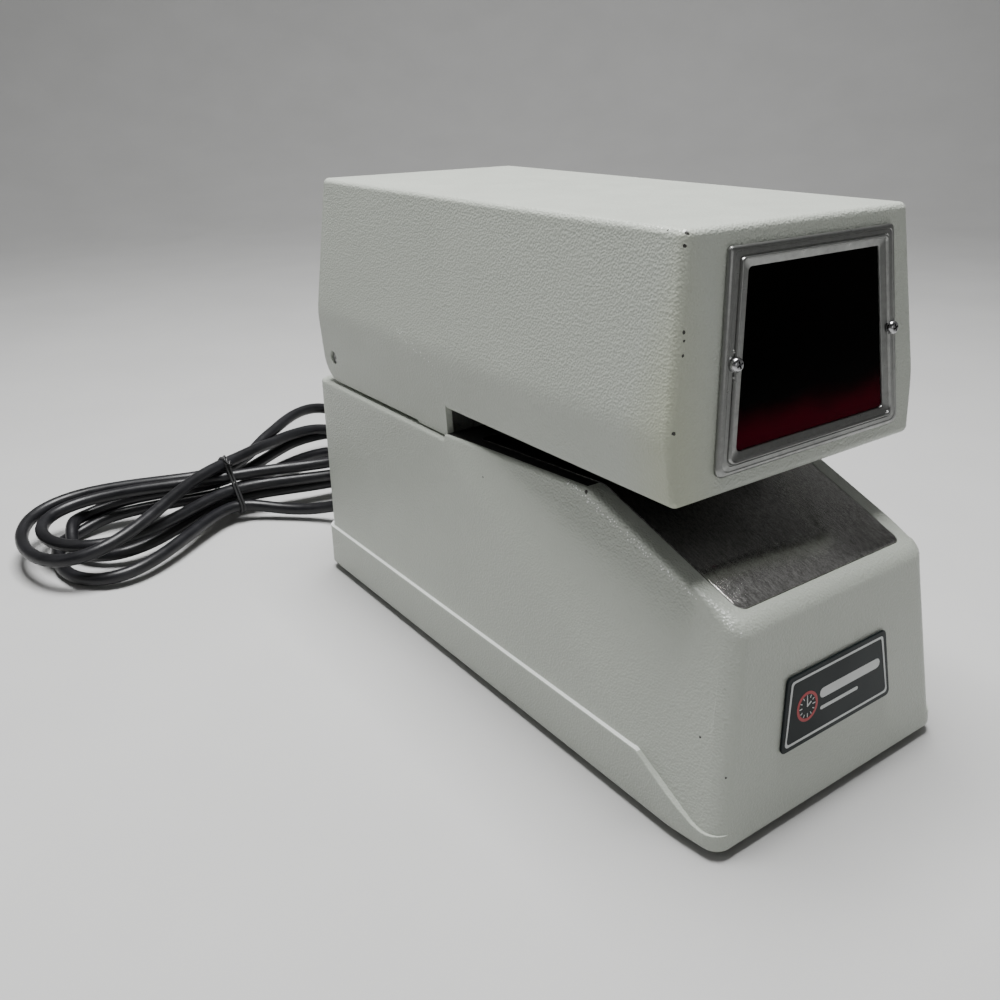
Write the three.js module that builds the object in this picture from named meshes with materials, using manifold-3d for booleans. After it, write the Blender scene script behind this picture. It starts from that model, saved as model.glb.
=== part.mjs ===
// Electric time and date stamp: a cast base, a hinged cover over the type wheels, and a mains cord.
// Millimetres. X points right seen from the front, -Y points to the front, Z up from the table.
import * as THREE from 'three';
import { mergeVertices } from 'three/addons/utils/BufferGeometryUtils.js';
import Module from 'manifold-3d';

const wasm = await Module();
wasm.setup();

// ---------------------------------------------------------------- driving dimensions
const GAP = 0.3;                 // gap between pieces that touch

// base casting
const FOOT_GAP = 3;              // the casting's lower edge above the table
const BASE_HALF = 140;           // half the length
const SKIRT_HALF = 65.6;         // half width of the skirt
const WALL_HALF = 63.6;          // half width above the skirt's ledge
const LEDGE_Z = 25.4;            // height of the ledge
const LEDGE_BEND_Y = -101.5;     // in front of this the ledge runs down to the toe
const LEDGE_TOE_Z = 4.7;
const PARTING_Z = 105.7;         // seat of the cover at the rear
const DECK_Z = 108.2;            // floor of the ticket throat
const NOTCH_Y = 21;              // rear end of the throat
const BEND_Y = -60.8;            // where the throat floor starts to slope down
const RIM_HALF = 50.8;           // half width of the slope's front end
const RIM_Y = -130.2;
const RIM_Z = 81.8;
const BASE_WALL = 5;

// throat plate
const PLATE_THICK = 1.5;
const PLATE_INSET = 7.6;         // rim left beside the plate
const PLATE_FRONT_Y = -124;
const PLATE_REAR_Y = 8;

// head cover
const HEAD_TOP_Z = 202;
const HEAD_BOTTOM_Z = 118.4;
const CREASE_Z = 141;
const HEAD_TOP_HALF = 54.6;
const HEAD_CREASE_HALF = 63.6;
const HEAD_LOW_HALF = 62.0;      // half width where the cover meets the base
const FACE_TOP_Y = -100.1;       // front face at HEAD_TOP_Z
const FACE_LOW_Y = -109.7;       // front face at HEAD_BOTTOM_Z
const HEAD_REAR_Y = 134.5;
const TAB_Z = 107.2;             // lower edge of the cover behind the throat
const TAB_STEP_Y = 45;           // the tab reaches lower in front of this
const COVER_WALL = 3;
const PIN_Y = 122;               // cover hinge
const PIN_Z = 119.5;
const PIN_RADIUS = 3;
const CORNER_RADIUS = 12.5;      // rear lower corner, round about the hinge

// window
const WINDOW_X = 3.4;            // the window sits right of centre
const BEZEL = { topHalf: 41, topZ: 195.7, lowHalf: 48.15, lowZ: 125.03, thick: 2.6 };
const OPENING = { topHalf: 32.85, topZ: 189, lowHalf: 38.9, lowZ: 132.15 };
const SCREW_Z = 160.5;

// nameplate
const NAME_X = -1;
const NAME = { topHalf: 27.35, topZ: 56.9, lowHalf: 31.1, lowZ: 29.25, thick: 0.8 };

// mechanism
const WHEEL_Y = -50;
const WHEEL_Z = 139.3;
const WHEEL_RADIUS = 18;
const WHEEL_WIDTH = 8;
const WHEEL_STEP = 8.5;
const SHAFT_RADIUS = 2.5;
const FRAME_IN = 46;             // inner face of the frame plates
const FRAME_OUT = 48.5;
const RIBBON_PLATE_Y = -27;      // front face of the ribbon plate
const GUARD_Z = 118.6;
const GUARD_THICK = 1;
const SPOOL_X = 36;
const SPOOL_Z = 172;
const SPOOL_FLANGE = 13;
const GUIDE_X = 41.5;
const GUIDE_Z = 124.1;
const GUIDE_RADIUS = 3.2;
const RIBBON_HALF = 6.5;         // half the ribbon's width
const MODULE = 1.25;
const DRIVE_TEETH = 24;
const IDLER_TEETH = 30;
const PINION_TEETH = 10;
const GEAR_X = 26.5;             // left face of the gears
const GEAR_WIDTH = 4;
const IDLER_Y = -17;
const LOCK_Y = 60;
const LOCK_Z = 152;

// hammer and solenoid
const HAMMER_TOP = 107.6;
const COIL_LOW = 44;
const COIL_HIGH = 82;
const SPRING_LOW = 18;
const YOKE_LOW = 40;
const PLUNGER_TOP = 61.7;

// trigger
const TRIGGER_Y = 13.5;
const TRIGGER_Z = 128;

// cord
const CORD_RADIUS = 3.5;
const EXIT_X = -30;
const EXIT_Z = 17;

// ---------------------------------------------------------------- materials
const metal = (color, roughness) => new THREE.MeshStandardMaterial({ color, roughness, metalness: 0.9 });
const plain = (color, roughness) => new THREE.MeshStandardMaterial({ color, roughness, metalness: 0 });
const PAINT = plain('#c6cac6', 0.55);
const STAINLESS = metal('#8e8c88', 0.35);
const STEEL = metal('#8b8d90', 0.45);
const ALUMINIUM = metal('#9a9c9e', 0.35);
const CHROME = metal('#c8cacc', 0.12);
const BRASS = metal('#b8964e', 0.35);
const RUBBER = plain('#17181a', 0.8);
const DARK = plain('#1c2022', 0.5);
const RED_LENS = new THREE.MeshStandardMaterial({ color: '#3a0610', roughness: 0.08, transparent: true, opacity: 0.6 });
const TYPE = plain('#d8d4c8', 0.6);
const INK = plain('#14141c', 0.9);
const BOARD = plain('#2d5a3c', 0.5);
const COPPER = plain('#8a4a26', 0.4);

// ---------------------------------------------------------------- shape helpers
const part = new THREE.Group();

function toSolid(geometry) {
  const bare = new THREE.BufferGeometry();
  bare.setAttribute('position', geometry.getAttribute('position').clone());
  if (geometry.index) bare.setIndex(geometry.index.clone());
  const merged = mergeVertices(bare, 1e-4);
  return new wasm.Manifold(new wasm.Mesh({
    numProp: 3,
    vertProperties: new Float32Array(merged.getAttribute('position').array),
    triVerts: new Uint32Array(merged.index.array),
  }));
}

function toGeometry(solid) {
  const mesh = solid.getMesh();
  const geometry = new THREE.BufferGeometry();
  geometry.setAttribute('position', new THREE.BufferAttribute(new Float32Array(mesh.vertProperties), 3));
  geometry.setIndex(new THREE.BufferAttribute(new Uint32Array(mesh.triVerts), 1));
  geometry.computeVertexNormals();
  return geometry;
}

function add(name, solid, material, parent = part) {
  const mesh = new THREE.Mesh(toGeometry(solid), material);
  mesh.name = name;
  parent.add(mesh);
  return mesh;
}

function block(x0, x1, y0, y1, z0, z1) {
  const geometry = new THREE.BoxGeometry(x1 - x0, y1 - y0, z1 - z0);
  geometry.translate((x0 + x1) / 2, (y0 + y1) / 2, (z0 + z1) / 2);
  return toSolid(geometry);
}

const AXIS_TURN = {
  x: new THREE.Matrix4().makeRotationZ(-Math.PI / 2),
  y: new THREE.Matrix4(),
  z: new THREE.Matrix4().makeRotationX(Math.PI / 2),
};

// A round bar of that radius from `start` to `end` along an axis, through the point (x, y, z).
function rod(axis, radius, start, end, x, y, z, sides = 20) {
  const geometry = new THREE.CylinderGeometry(radius, radius, end - start, sides);
  geometry.applyMatrix4(AXIS_TURN[axis]);
  const middle = { x, y, z };
  middle[axis] = (start + end) / 2;
  geometry.translate(middle.x, middle.y, middle.z);
  return toSolid(geometry);
}

// A body of revolution about `axis`; the profile is [radius, distance along the axis], either way round.
function turned(axis, profile, x, y, z, sides = 20) {
  const points = profile.map(([r, h]) => new THREE.Vector2(r, h));
  if (THREE.ShapeUtils.area(points) < 0) points.reverse();
  const geometry = new THREE.LatheGeometry(points, sides);
  geometry.applyMatrix4(AXIS_TURN[axis]);
  geometry.translate(x, y, z);
  return toSolid(geometry);
}

function extrude(outline, depth, holes, basis, offset) {
  const shape = new THREE.Shape(outline.map(([u, v]) => new THREE.Vector2(u, v)));
  for (const hole of holes) shape.holes.push(new THREE.Path(hole.map(([u, v]) => new THREE.Vector2(u, v))));
  const geometry = new THREE.ExtrudeGeometry(shape, { depth, bevelEnabled: false });
  geometry.applyMatrix4(basis);
  geometry.translate(...offset);
  return toSolid(geometry);
}

const vec = (x, y, z) => new THREE.Vector3(x, y, z);
const ALONG_X = new THREE.Matrix4().makeBasis(vec(0, 1, 0), vec(0, 0, 1), vec(1, 0, 0));
const ALONG_Y = new THREE.Matrix4().makeBasis(vec(1, 0, 0), vec(0, 0, 1), vec(0, -1, 0));
const ALONG_Z = new THREE.Matrix4();

const prismX = (outline, x0, x1, holes = []) => extrude(outline, x1 - x0, holes, ALONG_X, [x0, 0, 0]);
const prismY = (outline, y0, y1, holes = []) => extrude(outline, y1 - y0, holes, ALONG_Y, [0, y1, 0]);
const prismZ = (outline, z0, z1, holes = []) => extrude(outline, z1 - z0, holes, ALONG_Z, [0, 0, z0]);

function arc(cx, cy, radius, from, to, steps) {
  const points = [];
  for (let i = 0; i <= steps; i += 1) {
    const angle = THREE.MathUtils.degToRad(from + (to - from) * i / steps);
    points.push([cx + radius * Math.cos(angle), cy + radius * Math.sin(angle)]);
  }
  return points;
}

// Keeps the side of the plane through a, b and c that holds the point `inside`, moved in by `inset`.
function trim(solid, a, b, c, inside, inset = 0) {
  const normal = b.clone().sub(a).cross(c.clone().sub(a)).normalize();
  if (normal.dot(inside.clone().sub(a)) < 0) normal.negate();
  return solid.trimByPlane(normal.toArray(), normal.dot(a) + inset);
}

function join(...solids) {
  return solids.reduce((sum, solid) => sum.add(solid));
}

// ---------------------------------------------------------------- base
// Keeps the leaning cuts a hair inside the block's own corners, so no four faces meet in one point.
const CUT_CLEAR = 0.05;

// The casting's side leans in towards the front: one plane through these three points on each side.
function leanIn(solid, inset) {
  for (const side of [-1, 1]) {
    const seat = vec(side * WALL_HALF, NOTCH_Y, PARTING_Z);
    const bend = vec(side * WALL_HALF, LEDGE_BEND_Y, LEDGE_Z);
    const rim = vec(side * RIM_HALF, RIM_Y, RIM_Z);
    solid = trim(solid, seat, bend, rim, vec(0, 0, FOOT_GAP), inset + CUT_CLEAR);
  }
  return solid;
}

// The skirt stands proud of the sides as far as a slanting line from the bend in its ledge to the toe.
function trimSkirt(solid, inset) {
  const bend = vec(0, LEDGE_BEND_Y, LEDGE_Z);
  const toe = vec(0, -BASE_HALF, LEDGE_TOE_Z);
  return trim(solid, bend, vec(50, LEDGE_BEND_Y, LEDGE_Z), toe, vec(0, 0, FOOT_GAP), inset);
}

function trimSlope(solid, drop) {
  const bend = vec(0, BEND_Y, DECK_Z);
  return trim(solid, bend, vec(50, BEND_Y, DECK_Z), vec(0, RIM_Y, RIM_Z), vec(0, 0, 0), drop);
}

function trimFront(solid, inset) {
  const toe = vec(0, -BASE_HALF, FOOT_GAP);
  return trim(solid, toe, vec(50, -BASE_HALF, FOOT_GAP), vec(0, RIM_Y, RIM_Z), vec(0, 0, FOOT_GAP), inset);
}

function baseShape(inset) {
  const near = -BASE_HALF - CUT_CLEAR;
  const far = BASE_HALF - inset;
  const upperHalf = WALL_HALF - inset;
  const skirt = block(inset - SKIRT_HALF, SKIRT_HALF - inset, near, far, FOOT_GAP, LEDGE_Z - inset);
  const wall = block(-upperHalf, upperHalf, near, far, FOOT_GAP, PARTING_Z - inset);
  const deck = block(-upperHalf, upperHalf, near, NOTCH_Y - inset, FOOT_GAP, DECK_Z - inset);
  const body = trimSlope(leanIn(join(wall, deck), inset), inset);
  return trimFront(join(body, trimSkirt(skirt, inset)), inset);
}

// The throat plate, a strip bent where the floor bends: `grow` wider all round, its top raised by `rise`.
function plateSolid(grow, rise = 0) {
  const fall = (DECK_Z - RIM_Z) / (BEND_Y - RIM_Y);
  const slope = (y) => DECK_Z - fall * (BEND_Y - y);
  const front = PLATE_FRONT_Y - grow;
  const rear = PLATE_REAR_Y + grow;
  const thick = PLATE_THICK + grow;
  const outline = [[front, slope(front) + rise], [BEND_Y, DECK_Z + rise], [rear, DECK_Z + rise],
    [rear, DECK_Z - thick], [BEND_Y, DECK_Z - thick], [front, slope(front) - thick]];
  return leanIn(prismX(outline, -WALL_HALF, WALL_HALF), PLATE_INSET - grow);
}

const HAMMER_HALF_X = 23;
const HAMMER_HALF_Y = 7;

function hammerWell(gap) {
  return block(-HAMMER_HALF_X - gap, HAMMER_HALF_X + gap,
    WHEEL_Y - HAMMER_HALF_Y - gap, WHEEL_Y + HAMMER_HALF_Y + gap, DECK_Z - 12, DECK_Z + 1);
}

function makeBase() {
  const hollow = join(baseShape(BASE_WALL), block(-50, 50, -125, 130, FOOT_GAP - 5, 20));
  const mouth = leanIn(block(BASE_WALL - SKIRT_HALF, SKIRT_HALF - BASE_WALL,
    BASE_WALL - BASE_HALF, BASE_HALF - BASE_WALL, FOOT_GAP - 1, LEDGE_Z - BASE_WALL), BASE_WALL);
  const wireHole = block(-16, 16, 62, 92, PARTING_Z - 10, PARTING_Z + 1);
  const cordHole = rod('y', 6.3, BASE_HALF - 10, BASE_HALF + 2, EXIT_X, 0, EXIT_Z, 16);
  const casting = baseShape(0).subtract(join(hollow, mouth)).subtract(plateSolid(GAP, 1))
    .subtract(hammerWell(1)).subtract(wireHole).subtract(cordHole);
  add('base_casting', casting, PAINT);
  add('throat_plate', plateSolid(0).subtract(hammerWell(0.8)), STAINLESS);
  const cover = trimFront(leanIn(block(BASE_WALL - SKIRT_HALF + GAP, SKIRT_HALF - BASE_WALL - GAP,
    BASE_WALL - BASE_HALF + GAP, BASE_HALF - BASE_WALL - GAP, FOOT_GAP + 0.5, FOOT_GAP + 2.5),
  BASE_WALL + GAP), BASE_WALL + GAP);
  add('bottom_plate', cover, STEEL);
}

const FOOT_PLACES = { front_left: [-52, -126], front_right: [52, -126], rear_left: [-52, 126], rear_right: [52, 126] };

function makeFeet() {
  const profile = [[0, 0], [7.2, 0], [7.6, 0.6], [6.6, 2.6], [4, 2.6], [4, 3.2], [0, 3.2]];
  for (const [place, [x, y]] of Object.entries(FOOT_PLACES)) {
    const foot = add(`foot_${place}`, turned('z', profile, 0, 0, 0), RUBBER);
    foot.position.set(x, y, 0);
  }
}

// A frame whose local Z runs up a leaning front face and whose local -Y points out of it.
function faceFrame(lowY, lowZ, topY, topZ) {
  const frame = new THREE.Group();
  frame.position.set(0, lowY, lowZ);
  frame.rotation.x = -Math.atan2(topY - lowY, topZ - lowZ);
  part.add(frame);
  return { frame, up: (z) => (z - lowZ) / Math.cos(frame.rotation.x) };
}

const baseFace = faceFrame(-BASE_HALF, FOOT_GAP, RIM_Y, RIM_Z);
const headFace = faceFrame(FACE_LOW_Y, HEAD_BOTTOM_Z, FACE_TOP_Y, HEAD_TOP_Z);

// Four corners of a trapezoid on a leaning face, seen from the front.
function trapezoid(size, face, centre, grow = 0) {
  const low = face.up(size.lowZ) - grow;
  const top = face.up(size.topZ) + grow;
  return [[centre - size.lowHalf - grow, low], [centre + size.lowHalf + grow, low],
    [centre + size.topHalf + grow, top], [centre - size.topHalf - grow, top]];
}

function makeNameplate() {
  const plate = prismY(trapezoid(NAME, baseFace, NAME_X), -GAP - NAME.thick, -GAP);
  add('nameplate', plate, DARK, baseFace.frame);
}

// ---------------------------------------------------------------- cover
function headShape(inset) {
  const rear = HEAD_REAR_Y - inset;
  const low = [[-HEAD_LOW_HALF + inset, TAB_Z - 6], [HEAD_LOW_HALF - inset, TAB_Z - 6]];
  const crease = HEAD_CREASE_HALF - inset;
  const top = HEAD_TOP_HALF - inset;
  const section = [...low, [crease, CREASE_Z], [top, HEAD_TOP_Z - inset], [-top, HEAD_TOP_Z - inset],
    [-crease, CREASE_Z]];
  const body = prismY(section, -130, 150);
  const faceSlope = (FACE_TOP_Y - FACE_LOW_Y) / (HEAD_TOP_Z - HEAD_BOTTOM_Z);
  const faceAt = (z) => FACE_LOW_Y + faceSlope * (z - HEAD_BOTTOM_Z) + inset;
  const radius = CORNER_RADIUS - inset;
  const sideView = [[faceAt(60), 60], [PIN_Y, 60], ...arc(PIN_Y, PIN_Z, radius, -90, 0, 6),
    [rear, HEAD_TOP_Z], [faceAt(HEAD_TOP_Z), HEAD_TOP_Z]];
  return body.intersect(prismX(sideView, -80, 80));
}

function makeCover() {
  const underFront = block(-80, 80, -140, NOTCH_Y, 50, HEAD_BOTTOM_Z);
  const underTab = block(-80, 80, NOTCH_Y - 1, TAB_STEP_Y, 50, PARTING_Z + 0.5);
  const underRear = block(-80, 80, TAB_STEP_Y - 0.01, 150, 50, TAB_Z);
  const slots = [-1, 1].map((side) => block(Math.min(side * 44.5, side * 50), Math.max(side * 44.5, side * 50),
    PIN_Y - 8, 140, 100, PIN_Z + 2));
  const pinBore = rod('x', PIN_RADIUS + 0.3, -80, 80, 0, PIN_Y, PIN_Z);
  const lockBore = rod('x', 9.3, 40, 80, 0, LOCK_Y, LOCK_Z);
  let shell = headShape(0).subtract(headShape(COVER_WALL)).subtract(join(underFront, underTab, underRear));
  shell = shell.subtract(join(...slots, pinBore, lockBore));
  add('head_cover', shell.subtract(windowHole()), PAINT);
}

// The hole in the front wall, a little larger than the lens, cut along the face's own direction.
function windowHole() {
  const outline = trapezoid(OPENING, headFace, WINDOW_X, 3);
  const geometry = toGeometry(prismY(outline, -6, 8));
  headFace.frame.updateMatrix();
  geometry.applyMatrix4(headFace.frame.matrix);
  return toSolid(geometry);
}

function makeWindow() {
  const rim = trapezoid(BEZEL, headFace, WINDOW_X);
  const opening = trapezoid(OPENING, headFace, WINDOW_X);
  const at = (SCREW_Z - OPENING.lowZ) / (OPENING.topZ - OPENING.lowZ);
  const middle = (OPENING.lowHalf + (OPENING.topHalf - OPENING.lowHalf) * at
    + BEZEL.lowHalf + (BEZEL.topHalf - BEZEL.lowHalf) * at) / 2;
  const bores = [-1, 1].map((side) => rod('y', 1.8, -10, 10, WINDOW_X + side * middle, 0, headFace.up(SCREW_Z), 12));
  add('window_bezel', prismY(rim, -GAP - BEZEL.thick, -GAP, [opening.slice().reverse()]).subtract(join(...bores)),
    ALUMINIUM, headFace.frame);
  add('window_lens', prismY(trapezoid(OPENING, headFace, WINDOW_X, 2.5), 0.4, 2.4), RED_LENS, headFace.frame);
  const head = [[0, 0.1], [1.45, 0.1], [1.45, 1.9], [3, 1.9], [2.9, 2.9], [2, 3.9], [0, 4.2]];
  for (const [side, name] of [[-1, 'left'], [1, 'right']]) {
    const profile = head.map(([r, h]) => [r, -h - 1.2]);
    const screw = add(`bezel_screw_${name}`, turned('y', profile, 0, 0, 0, 14), CHROME, headFace.frame);
    screw.position.set(WINDOW_X + side * middle, 0, headFace.up(SCREW_Z));
  }
}

function makeHinge() {
  for (const [side, name] of [[-1, 'left'], [1, 'right']]) {
    const pin = rod('x', PIN_RADIUS, -10, 6.4, 0, 0, 0);
    const mesh = add(`hinge_pin_${name}`, side > 0 ? pin : pin.mirror([1, 0, 0]), STEEL);
    mesh.position.set(side * 55.4, PIN_Y, PIN_Z);
  }
}

function makeLock() {
  const sleeve = [[3.4, 0], [8.9, 0], [8.9, 10], [10.4, 10], [10.4, 11.4], [6.4, 11.4], [6.4, 1.6], [3.4, 1.6],
    [3.4, 0]];
  const body = add('lock_body', turned('x', sleeve, 0, 0, 0, 24), CHROME);
  body.position.set(53.6, LOCK_Y, LOCK_Z);
  const plug = join(rod('x', 6, 1.9, 11.2, 0, 0, 0, 20), rod('x', 3, -0.4, 2.5, 0, 0, 0, 16));
  const keyway = block(7, 13, -0.7, 0.7, -3.6, 3.6);
  const cylinder = add('lock_cylinder', plug.subtract(keyway), BRASS);
  cylinder.position.copy(body.position);
  add('lock_cam', block(50, 52.9, LOCK_Y - 4, LOCK_Y + 4, LOCK_Z - 20, LOCK_Z + 4), STEEL);
  add('lock_catch', join(block(48.8, 49.8, LOCK_Y - 24, LOCK_Y - 12, LOCK_Z + 5, LOCK_Z + 16),
    block(48.8, 53.4, LOCK_Y - 24, LOCK_Y - 12, LOCK_Z + 5, LOCK_Z + 7)), STEEL);
}

// ---------------------------------------------------------------- frame inside the head
function makeFrame() {
  const ear = arc(PIN_Y, PIN_Z, 9, 0, 120, 8);
  const outline = [[24, PARTING_Z + GAP], [PIN_Y - 1, PARTING_Z + GAP], [PIN_Y + 4, PIN_Z - 8.1],
    [PIN_Y + 7.5, PIN_Z - 5], ...ear, [104, 150], [96, 186], [-24.2, 186], [-24.2, 120.5], [24, 120.5]];
  const bore = arc(PIN_Y, PIN_Z, PIN_RADIUS + GAP, 0, 342, 19).reverse();
  const sides = { left: [-FRAME_OUT, -FRAME_IN], right: [FRAME_IN, FRAME_OUT] };
  const ties = { front: [2, 178], rear: [88, 178] };
  for (const [name, [x0, x1]] of Object.entries(sides)) {
    add(`frame_${name}`, prismX(outline, x0, x1, [bore]), STEEL);
  }
  for (const [name, [y, z]] of Object.entries(ties)) {
    add(`frame_tie_${name}`, rod('x', 3.5, GAP - FRAME_IN, FRAME_IN - GAP, 0, y, z, 16), STEEL);
  }
}

const GUARD_FRONT_Y = -104.8;

function makeGuard() {
  const front = block(-57.8, 57.8, GUARD_FRONT_Y, 19.5, GUARD_Z, GUARD_Z + GUARD_THICK);
  const tongue = block(-20, 20, 19, 60, GUARD_Z, GUARD_Z + GUARD_THICK);
  const window = block(-24.5, 24.5, WHEEL_Y - 8.5, WHEEL_Y + 8.5, 100, 130);
  const slot = block(-4, 4, TRIGGER_Y - 4, TRIGGER_Y + 7, 100, 130);
  add('throat_guard', join(front, tongue).subtract(window).subtract(slot), STEEL);
}

function makeRibbonPlate() {
  const rear = RIBBON_PLATE_Y + 2.5;
  const sheet = block(-49, 49, RIBBON_PLATE_Y, rear, 120.2, 188);
  const gearSlot = block(24.8, 33, RIBBON_PLATE_Y - 1, rear + 1, 122.5, 170);
  const posts = [];
  for (const side of [-1, 1]) {
    posts.push(rod('y', 2, WHEEL_Y - 9.5, RIBBON_PLATE_Y + 1, side * SPOOL_X, 0, SPOOL_Z, 12));
    posts.push(rod('y', GUIDE_RADIUS, WHEEL_Y - 8, RIBBON_PLATE_Y + 1, side * GUIDE_X, 0, GUIDE_Z, 16));
  }
  add('ribbon_plate', join(sheet.subtract(gearSlot), ...posts), STEEL);
}

function makeSpools() {
  const half = RIBBON_HALF + 1.2;
  const profile = [[2.4, -half], [SPOOL_FLANGE, -half], [SPOOL_FLANGE, 1 - half], [8.6, 1 - half],
    [8.6, half - 1], [SPOOL_FLANGE, half - 1], [SPOOL_FLANGE, half], [2.4, half], [2.4, -half]];
  for (const [side, name] of [[-1, 'left'], [1, 'right']]) {
    const spool = add(`ribbon_spool_${name}`, turned('y', profile, 0, 0, 0, 24), INK);
    spool.position.set(side * SPOOL_X, WHEEL_Y, SPOOL_Z);
  }
}

function makeRibbon() {
  const strip = (radius) => {
    const right = arc(GUIDE_X, GUIDE_Z, radius, -90, 0, 5);
    const left = right.map(([x, z]) => [-x, z]).reverse();
    return [[-GUIDE_X - radius, SPOOL_Z - 4], ...left, ...right, [GUIDE_X + radius, SPOOL_Z - 4]];
  };
  const outline = [...strip(GUIDE_RADIUS + 0.8), ...strip(GUIDE_RADIUS + 0.3).reverse()];
  add('ribbon', prismY(outline, WHEEL_Y - RIBBON_HALF, WHEEL_Y + RIBBON_HALF), INK);
}

const CHEEK_IN = 22;
const CHEEK_OUT = 24.5;

function makeYoke() {
  const web = block(-CHEEK_OUT, CHEEK_OUT, -30.3, -27.3, 124, 166);
  const cheekOutline = [[-30, 126], [-30, 162], [WHEEL_Y + 6, 152], ...arc(WHEEL_Y, WHEEL_Z, 8, 60, 300, 8)];
  const cheeks = [prismX(cheekOutline, -CHEEK_OUT, -CHEEK_IN), prismX(cheekOutline, CHEEK_IN, CHEEK_OUT)];
  const bore = rod('x', SHAFT_RADIUS + GAP, -40, 40, 0, WHEEL_Y, WHEEL_Z, 16);
  add('type_yoke', join(web, ...cheeks).subtract(bore), STEEL);
}

const WHEEL_NAMES = ['month_wheel', 'day_wheel', 'year_wheel', 'hour_wheel', 'minute_wheel'];

// A type wheel: a drum with a flat for each character and a bore that runs free on the shaft.
function makeWheels() {
  WHEEL_NAMES.forEach((name, index) => {
    const half = WHEEL_WIDTH / 2;
    const bore = SHAFT_RADIUS + GAP;
    const profile = [[bore, -half], [WHEEL_RADIUS, -half], [WHEEL_RADIUS, half], [bore, half], [bore, -half]];
    const wheel = add(name, turned('x', profile, 0, 0, 0, 24), TYPE);
    wheel.position.set((index - 2) * WHEEL_STEP, WHEEL_Y, WHEEL_Z);
  });
  add('type_shaft', rod('x', SHAFT_RADIUS, -28, 32, 0, WHEEL_Y, WHEEL_Z, 16), STEEL);
}

// ---------------------------------------------------------------- gears and motor
// A spur gear's outline; `phase` turns it by that part of a tooth. Teeth are slim so that they run free.
function gearOutline(teeth, phase) {
  const pitch = teeth * MODULE / 2;
  const foot = pitch - 1.1 * MODULE;
  const tip = pitch + 0.7 * MODULE;
  const points = [];
  for (let i = 0; i < teeth; i += 1) {
    for (const [radius, share] of [[foot, -0.3], [tip, -0.1], [tip, 0.1], [foot, 0.3]]) {
      const angle = 2 * Math.PI * (i + phase + share) / teeth;
      points.push([radius * Math.cos(angle), radius * Math.sin(angle)]);
    }
  }
  return points;
}

function makeGear(name, teeth, phase, y, z, boreRadius) {
  const bore = arc(0, 0, boreRadius, 0, 337.5, 15).reverse();
  const gear = add(name, prismX(gearOutline(teeth, phase), 0, GEAR_WIDTH, [bore]), BRASS);
  gear.position.set(GEAR_X, y, z);
}

function makeGears() {
  const reach = (DRIVE_TEETH + IDLER_TEETH) * MODULE / 2;
  const idlerZ = WHEEL_Z + Math.sqrt(reach ** 2 - (IDLER_Y - WHEEL_Y) ** 2);
  const motorY = IDLER_Y + (IDLER_TEETH + PINION_TEETH) * MODULE / 2;
  const lean = Math.atan2(idlerZ - WHEEL_Z, IDLER_Y - WHEEL_Y) / (2 * Math.PI);
  const drivePhase = lean * DRIVE_TEETH;
  const idlerPhase = (lean + 0.5) * IDLER_TEETH + 0.5;
  const pinionPhase = PINION_TEETH / 2 - idlerPhase - 0.5;
  makeGear('drive_gear', DRIVE_TEETH, drivePhase, WHEEL_Y, WHEEL_Z, SHAFT_RADIUS + GAP);
  makeGear('idler_gear', IDLER_TEETH, idlerPhase, IDLER_Y, idlerZ, 2.8);
  makeGear('motor_pinion', PINION_TEETH, pinionPhase, motorY, idlerZ, 1.8);
  const stud = join(rod('x', 2.5, GEAR_X - 1.5, FRAME_IN - GAP, 0, IDLER_Y, idlerZ, 16),
    rod('x', 4.5, GEAR_X + GEAR_WIDTH + GAP, FRAME_IN - GAP, 0, IDLER_Y, idlerZ, 16));
  add('idler_stud', stud, STEEL);
  const motor = join(rod('x', 19.5, 33, FRAME_IN - GAP, 0, motorY, idlerZ, 28),
    rod('x', 9, 31.2, 34, 0, motorY, idlerZ, 20), rod('x', 1.5, 25.5, 32, 0, motorY, idlerZ, 12));
  add('clock_motor', motor.subtract(rod('x', 3.6, 44, 48, 0, 2, 178, 12)), STEEL);
}

// ---------------------------------------------------------------- hammer and solenoid
function makeHammer() {
  const half = [HAMMER_HALF_X - 1, HAMMER_HALF_Y - 1];
  const at = (z0, z1, shrink = 0) => block(-half[0] + shrink, half[0] - shrink,
    WHEEL_Y - half[1] + shrink, WHEEL_Y + half[1] - shrink, z0, z1);
  add('hammer_pad', at(HAMMER_TOP - 3, HAMMER_TOP, 0.5), RUBBER);
  const stem = rod('z', 4, PLUNGER_TOP + GAP, HAMMER_TOP - 8, 0, WHEEL_Y, 0, 16);
  add('hammer_head', join(at(HAMMER_TOP - 9, HAMMER_TOP - 3.3), stem), STEEL);
  const plunger = [[0, SPRING_LOW - 2], [9, SPRING_LOW - 2], [9, SPRING_LOW], [6, SPRING_LOW], [6, PLUNGER_TOP],
    [0, PLUNGER_TOP]];
  add('solenoid_plunger', turned('z', plunger, 0, WHEEL_Y, 0), CHROME);
}

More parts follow.
